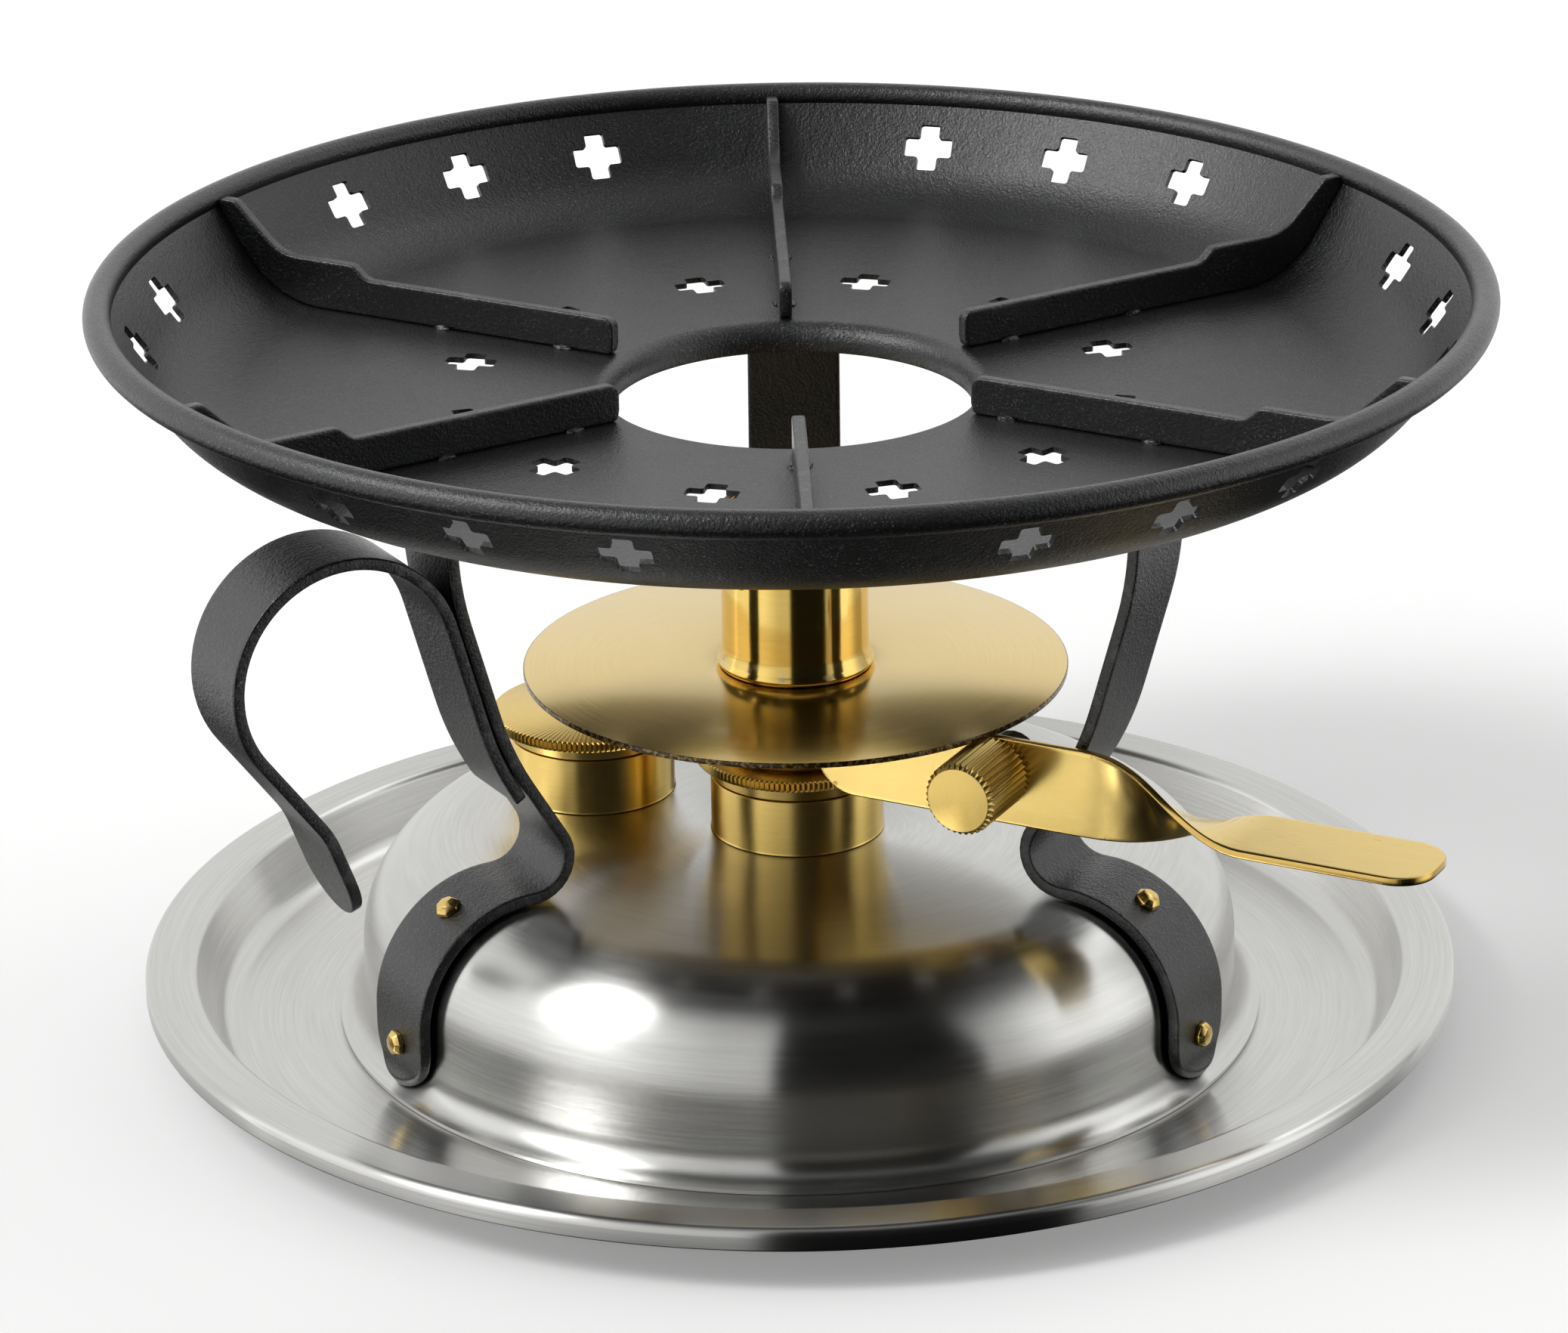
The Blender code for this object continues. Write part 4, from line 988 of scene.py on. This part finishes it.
def rib_outline():
    """Side view of one rib: level pan rest, a step up, then a curl that follows the dish wall."""
    curve_centre = (DISH_FLAT_RADIUS, DISH_FLOOR_Z - DISH_SHEET + DISH_CURVE)
    clear = DISH_CURVE - DISH_SHEET - RIB_FOOT_GAP
    wall_foot = arc(curve_centre, clear, DISH_WALL_SLOPE - 90, DISH_WALL_SLOPE - 90, 1)[0]
    tip_z = RIB_TIP_Z - RIB_TIP_DROP
    reach = (tip_z - wall_foot[1]) / sind(DISH_WALL_SLOPE)
    tip = (wall_foot[0] + cosd(DISH_WALL_SLOPE) * reach, tip_z)
    over = rounded([
        (RIB_INNER, DISH_FLOOR_Z + 2.0, 0),
        (RIB_INNER, RIB_TOP_Z, 2.0),
        (RIB_STEP_RADIUS, RIB_TOP_Z, 3.0),
        (RIB_STEP_RADIUS + RIB_STEP_RUN, RIB_STEP_Z, 2.0),
        (RIB_CURL_RADIUS, RIB_STEP_Z, 9.0),
        (RIB_TIP_RADIUS, RIB_TIP_Z, 1.6),
        (tip[0], RIB_TIP_Z, 1.0),
        (*tip, 0),
    ], step=10)
    under = arc(curve_centre, clear, DISH_WALL_SLOPE - 90, -90, 12)
    heel = rounded([
        (DISH_FLAT_RADIUS - 2, DISH_FLOOR_Z + RIB_FOOT_GAP, 0),
        (RIB_INNER + 0.4, DISH_FLOOR_Z + RIB_FOOT_GAP, 1.0),
        (RIB_INNER, DISH_FLOOR_Z + 2.0, 0),
    ], step=20)
    return over + under + heel[:-1]


def make_ribs(look):
    outline = rib_outline()
    for i in range(RIB_COUNT):
        rib = rounded_plate(f"pan_rib_{i + 1}_plate", outline, RIB_SHEET, 0.4, look)
        rib.rotation_euler.z = math.radians(90 + 60 * i + DISH_TURN)
        in_place(rib, "stand", "black_powder_coat", f"pan_rib_{i + 1}")


def make_welds(look):
    """Short lumpy weld beads under the coat, two along each side of each rib's foot."""
    random.seed(5)
    bm = bmesh.new()
    for i in range(RIB_COUNT):
        turn = Matrix.Rotation(math.radians(90 + 60 * i + DISH_TURN), 4, "Z")
        for radius in WELD_RADII:
            for side in (-1, 1):
                away = radius + random.uniform(-1.5, 1.5)
                centre = Vector((away, side * (RIB_SHEET / 2 + 0.25), DISH_FLOOR_Z))
                made = bmesh.ops.create_icosphere(bm, subdivisions=3, radius=1.0)
                for vert in made["verts"]:
                    lump = 1 + 0.35 * noise.noise(vert.co * 1.7 + centre)
                    shape = Vector((vert.co.x * 1.8, vert.co.y * 0.8, vert.co.z * 0.7)) * lump
                    vert.co = (turn @ (centre + shape)) * MM
    in_place(piece_from(bm, "rib_welds", look), "stand", "black_powder_coat")


# ---------------------------------------------------------------- legs, handle and rivets


def leg_path():
    flange_z = DISH_FLOOR_Z - DISH_SHEET - FIT - STRIP_SHEET / 2
    clear = FIT + STRIP_SHEET / 2
    shoulder = (TANK_RADIUS - TANK_SHOULDER, TANK_TOP_Z - TANK_SHOULDER)
    foot = (TANK_RADIUS + TANK_FLARE, TANK_BRIM_Z + TANK_FLARE)
    upper = rounded([
        (LEG_FLANGE_END, flange_z, 0),
        (LEG_SHOULDER[0], flange_z, 4.0),
        (*LEG_SHOULDER, 60.0),
        (*LEG_KNEE, 60.0),
        (*LEG_BEND, 7.0),
        (shoulder[0], LEG_BEND[1], 0),
    ], step=3)
    lower = arc(shoulder, TANK_SHOULDER + clear, 90, 0, 30) + arc(foot, TANK_FLARE - clear, 180, 240, 12)
    return upper[:-1] + lower


def handle_path():
    """Centre line of the handle: up beside the left leg, round the loop, and down to its free end."""
    gap = STRIP_SHEET + FIT
    run = (HANDLE_START_Z - LEG_BEND[1]) * math.tan(math.radians(LEG_LOWER_LEAN))
    start = beside((LEG_BEND[0] + run, HANDLE_START_Z), LEG_LOWER_LEAN, gap)
    knee = beside(LEG_KNEE, (LEG_LOWER_LEAN + LEG_UPPER_LEAN) / 2, gap)
    loop = HANDLE_LOOP_RADIUS
    meet_z = HANDLE_LOOP_Z + loop * sind(LEG_UPPER_LEAN)
    meet_x = knee[0] + (meet_z - knee[1]) * math.tan(math.radians(LEG_UPPER_LEAN))
    centre_x = meet_x + loop * cosd(LEG_UPPER_LEAN)
    out = rounded([(*start, 0), (*knee, 57.5), (meet_x, meet_z, 0)], step=3)
    around = arc((centre_x, HANDLE_LOOP_Z), loop, 180 - LEG_UPPER_LEAN, -38, 80)
    back = rounded([(*around[-1], 0), (*HANDLE_RETURN, 18.0), (*HANDLE_TIP, 0)], step=3)
    return out[:-1] + around + back[1:]


def make_legs(look):
    ends = (1.2, STRIP_WIDTH / 2)
    routes = [(f"leg_{name}", azimuth, leg_path()) for name, azimuth in LEG_AZIMUTHS.items()]
    routes.append(("carry_handle", LEG_AZIMUTHS["left"], handle_path()))
    for node, azimuth, path in routes:
        route = Route(path)
        strip = sheet_strip(f"{node}_strip", route.length, lambda s: STRIP_WIDTH / 2, ends, STRIP_SHEET,
                            STRIP_EDGE, look, route.place)
        strip.rotation_euler.z = math.radians(azimuth)
        in_place(strip, "stand", "black_powder_coat", node)


def rivet_places():
    """Each rivet's frame, its z axis pointing out of the leg and its origin on the leg's outer face."""
    face = FIT + STRIP_SHEET
    shoulder = Vector((TANK_RADIUS - TANK_SHOULDER, 0, TANK_TOP_Z - TANK_SHOULDER))
    high_way = Vector((cosd(RIVET_HIGH_ANGLE), 0, sind(RIVET_HIGH_ANGLE)))
    spots = {
        "low": (Vector((TANK_RADIUS + face, 0, RIVET_LOW_Z)), 90.0),
        "high": (shoulder + high_way * (TANK_SHOULDER + face), 90.0 - RIVET_HIGH_ANGLE),
    }
    places = {}
    for leg, azimuth in LEG_AZIMUTHS.items():
        for level, (spot, tilt) in spots.items():
            turn = Matrix.Rotation(math.radians(azimuth), 4, "Z")
            lean = Matrix.Rotation(math.radians(tilt), 4, "Y")
            places[f"rivet_{leg}_{level}"] = turn @ Matrix.Translation(spot * MM) @ lean
    return places


def make_rivets(look):
    """Rivet heads closed by hand: each one a slightly different faceted dome."""
    random.seed(11)
    for name, place in rivet_places().items():
        bm = bmesh.new()
        sides = random.choice((7, 8))
        turn = random.uniform(0, 60)
        rings = []
        for radius, z in ((1.0, 0.0), (1.0, 0.42), (0.68, 0.88)):
            ring = []
            for i in range(sides):
                angle = turn + 360 * (i + random.uniform(-0.12, 0.12)) / sides
                here = RIVET_HEAD_RADIUS * radius * random.uniform(0.93, 1.04)
                spot = Vector((here * cosd(angle), here * sind(angle), z * RIVET_HEAD_HEIGHT))
                ring.append(bm.verts.new(spot * MM))
            rings.append(ring)
        for low, high in zip(rings, rings[1:]):
            for i in range(sides):
                j = (i + 1) % sides
                bm.faces.new((low[i], low[j], high[j], high[i]))
        top = Vector((random.uniform(-0.2, 0.2), random.uniform(-0.2, 0.2), RIVET_HEAD_HEIGHT))
        peak = bm.verts.new(top * MM)
        for i in range(sides):
            bm.faces.new((rings[-1][i], rings[-1][(i + 1) % sides], peak))
        bm.faces.new(rings[0][::-1])
        bmesh.ops.bevel(bm, geom=bm.edges[:], offset=0.16 * MM, segments=2, profile=0.5, affect="EDGES")
        rivet = piece_from(bm, name + "_head", look, sharp=60)
        rivet.matrix_world = place
        in_place(rivet, "stand", "satin_brass", name)


# ---------------------------------------------------------------- studio


def make_studio():
    """A plain pale floor, and a sky of soft panels with dark gaps between them.

    Reflections don't show the floor, so that metal near it reflects the dark gaps."""
    bm = bmesh.new()
    bmesh.ops.create_circle(bm, cap_ends=True, segments=64, radius=8.0)
    look, tree, shader = new_material("studio_floor", 0.0, roughness=0.9, specular_ior_level=0.2)
    shader.inputs["Base Color"].default_value = (0.86, 0.86, 0.86, 1.0)
    shader.inputs["Emission Color"].default_value = (1.0, 1.0, 1.0, 1.0)
    shader.inputs["Emission Strength"].default_value = 0.20
    floor = piece_from(bm, "studio_floor", look)
    floor.location.z = -FLOOR_DROP * MM
    floor.visible_glossy = False

    world = bpy.data.worlds.new("studio_sky")
    bpy.context.scene.world = world
    world.use_nodes = True
    tree = Tree(world.node_tree)
    background = world.node_tree.nodes["Background"]
    x, y, z = tree.add("SeparateXYZ", {0: tree.add("TexCoord").outputs["Generated"]}).outputs
    azimuth = tree.math("ARCTAN2", y, x)
    height = tree.math("ARCSINE", z)
    above = tree.math("ABSOLUTE", height)

    def window(value, centre, half, soft):
        """1 within half of the centre, falling to 0 over the soft width outside it."""
        away = tree.math("WRAP", tree.math("SUBTRACT", value, math.radians(centre)), math.pi, -math.pi)
        away = tree.math("ABSOLUTE", away)
        return tree.spread(away, math.radians(half), math.radians(half + soft), 1.0, 0.0)

    light = SKY_GLOOM
    for strength, across, up in SKY_LIGHTS.values():
        panel = tree.math("MULTIPLY", window(azimuth, *across), window(above, *up))
        light = tree.math("MULTIPLY_ADD", panel, strength, light)
    faded, full = (math.radians(angle) for angle in SKY_FADE)
    lit = tree.spread(height, faded, full, SKY_FADED, 1.0)
    tree.feed(background.inputs["Strength"], tree.math("MULTIPLY", light, lit))
    background.inputs["Color"].default_value = (1.0, 1.0, 0.995, 1.0)


def make_camera():
    data = bpy.data.cameras.new("studio_camera")
    data.sensor_width = CAMERA_SENSOR
    data.lens = CAMERA_LENS
    camera = bpy.data.objects.new("studio_camera", data)
    pan, tilt, roll = (math.radians(angle) for angle in CAMERA_PAN_TILT_ROLL)
    turn = Matrix.Rotation(-pan, 4, "Z") @ Matrix.Rotation(math.pi / 2 - tilt, 4, "X")
    place = Matrix.Translation(Vector(CAMERA_PLACE) * MM)
    camera.matrix_world = place @ turn @ Matrix.Rotation(roll, 4, "Z")
    bpy.context.scene.collection.objects.link(camera)
    bpy.context.scene.camera = camera
    bpy.context.scene.view_settings.view_transform = "Standard"
    bpy.context.scene.view_settings.look = "Medium High Contrast"


# ---------------------------------------------------------------- the whole stand


def main():
    make_camera()
    make_studio()

    steel = brushed_steel()
    turned = turned_brass("turned_brass_look", 0.24, 1.2, 0.3)
    black = powder_coat()
    polished = polished_brass()

    make_tray(steel)
    make_dome(steel)
    make_burner_neck(turned)
    make_filler(turned)
    make_burner(polished, woven_gauze())
    make_regulator(turned, disc_brass(), polished)
    make_lever(strip_brass(), turned)
    make_dish(black)
    make_ribs(black)
    make_welds(black)
    make_legs(black)
    make_rivets(hammered_brass())

    rubber = plain_look("seal_rubber_look", (0.012, 0.012, 0.012), (0.03, 0.03, 0.03), 0.7, 800.0)
    cotton = plain_look("wick_cotton_look", (0.55, 0.50, 0.40), (0.85, 0.81, 0.72), 0.95, 1200.0,
                        relief=0.3)
    wadding = plain_look("glass_wadding_look", (0.70, 0.69, 0.63), (0.90, 0.89, 0.84), 0.95, 600.0,
                         relief=0.4)
    # The clamp nut's near-black colour is painted shade, standing in for the shadow it sits in behind the
    # lever.
    dark = plain_look("painted_shade_steel_look", (0.02, 0.02, 0.02), (0.06, 0.055, 0.05), 0.45, 900.0,
                      metallic=0.8)
    kept = {"tank_bottom": steel, "lever_bracket": turned, "clamp_nut": dark, "burner_gasket": rubber,
            "filler_seal": rubber, "wick": cotton, "fuel_wadding": wadding}
    for node, look in kept.items():
        nodes[node].data.materials.clear()
        nodes[node].data.materials.append(look)


main()
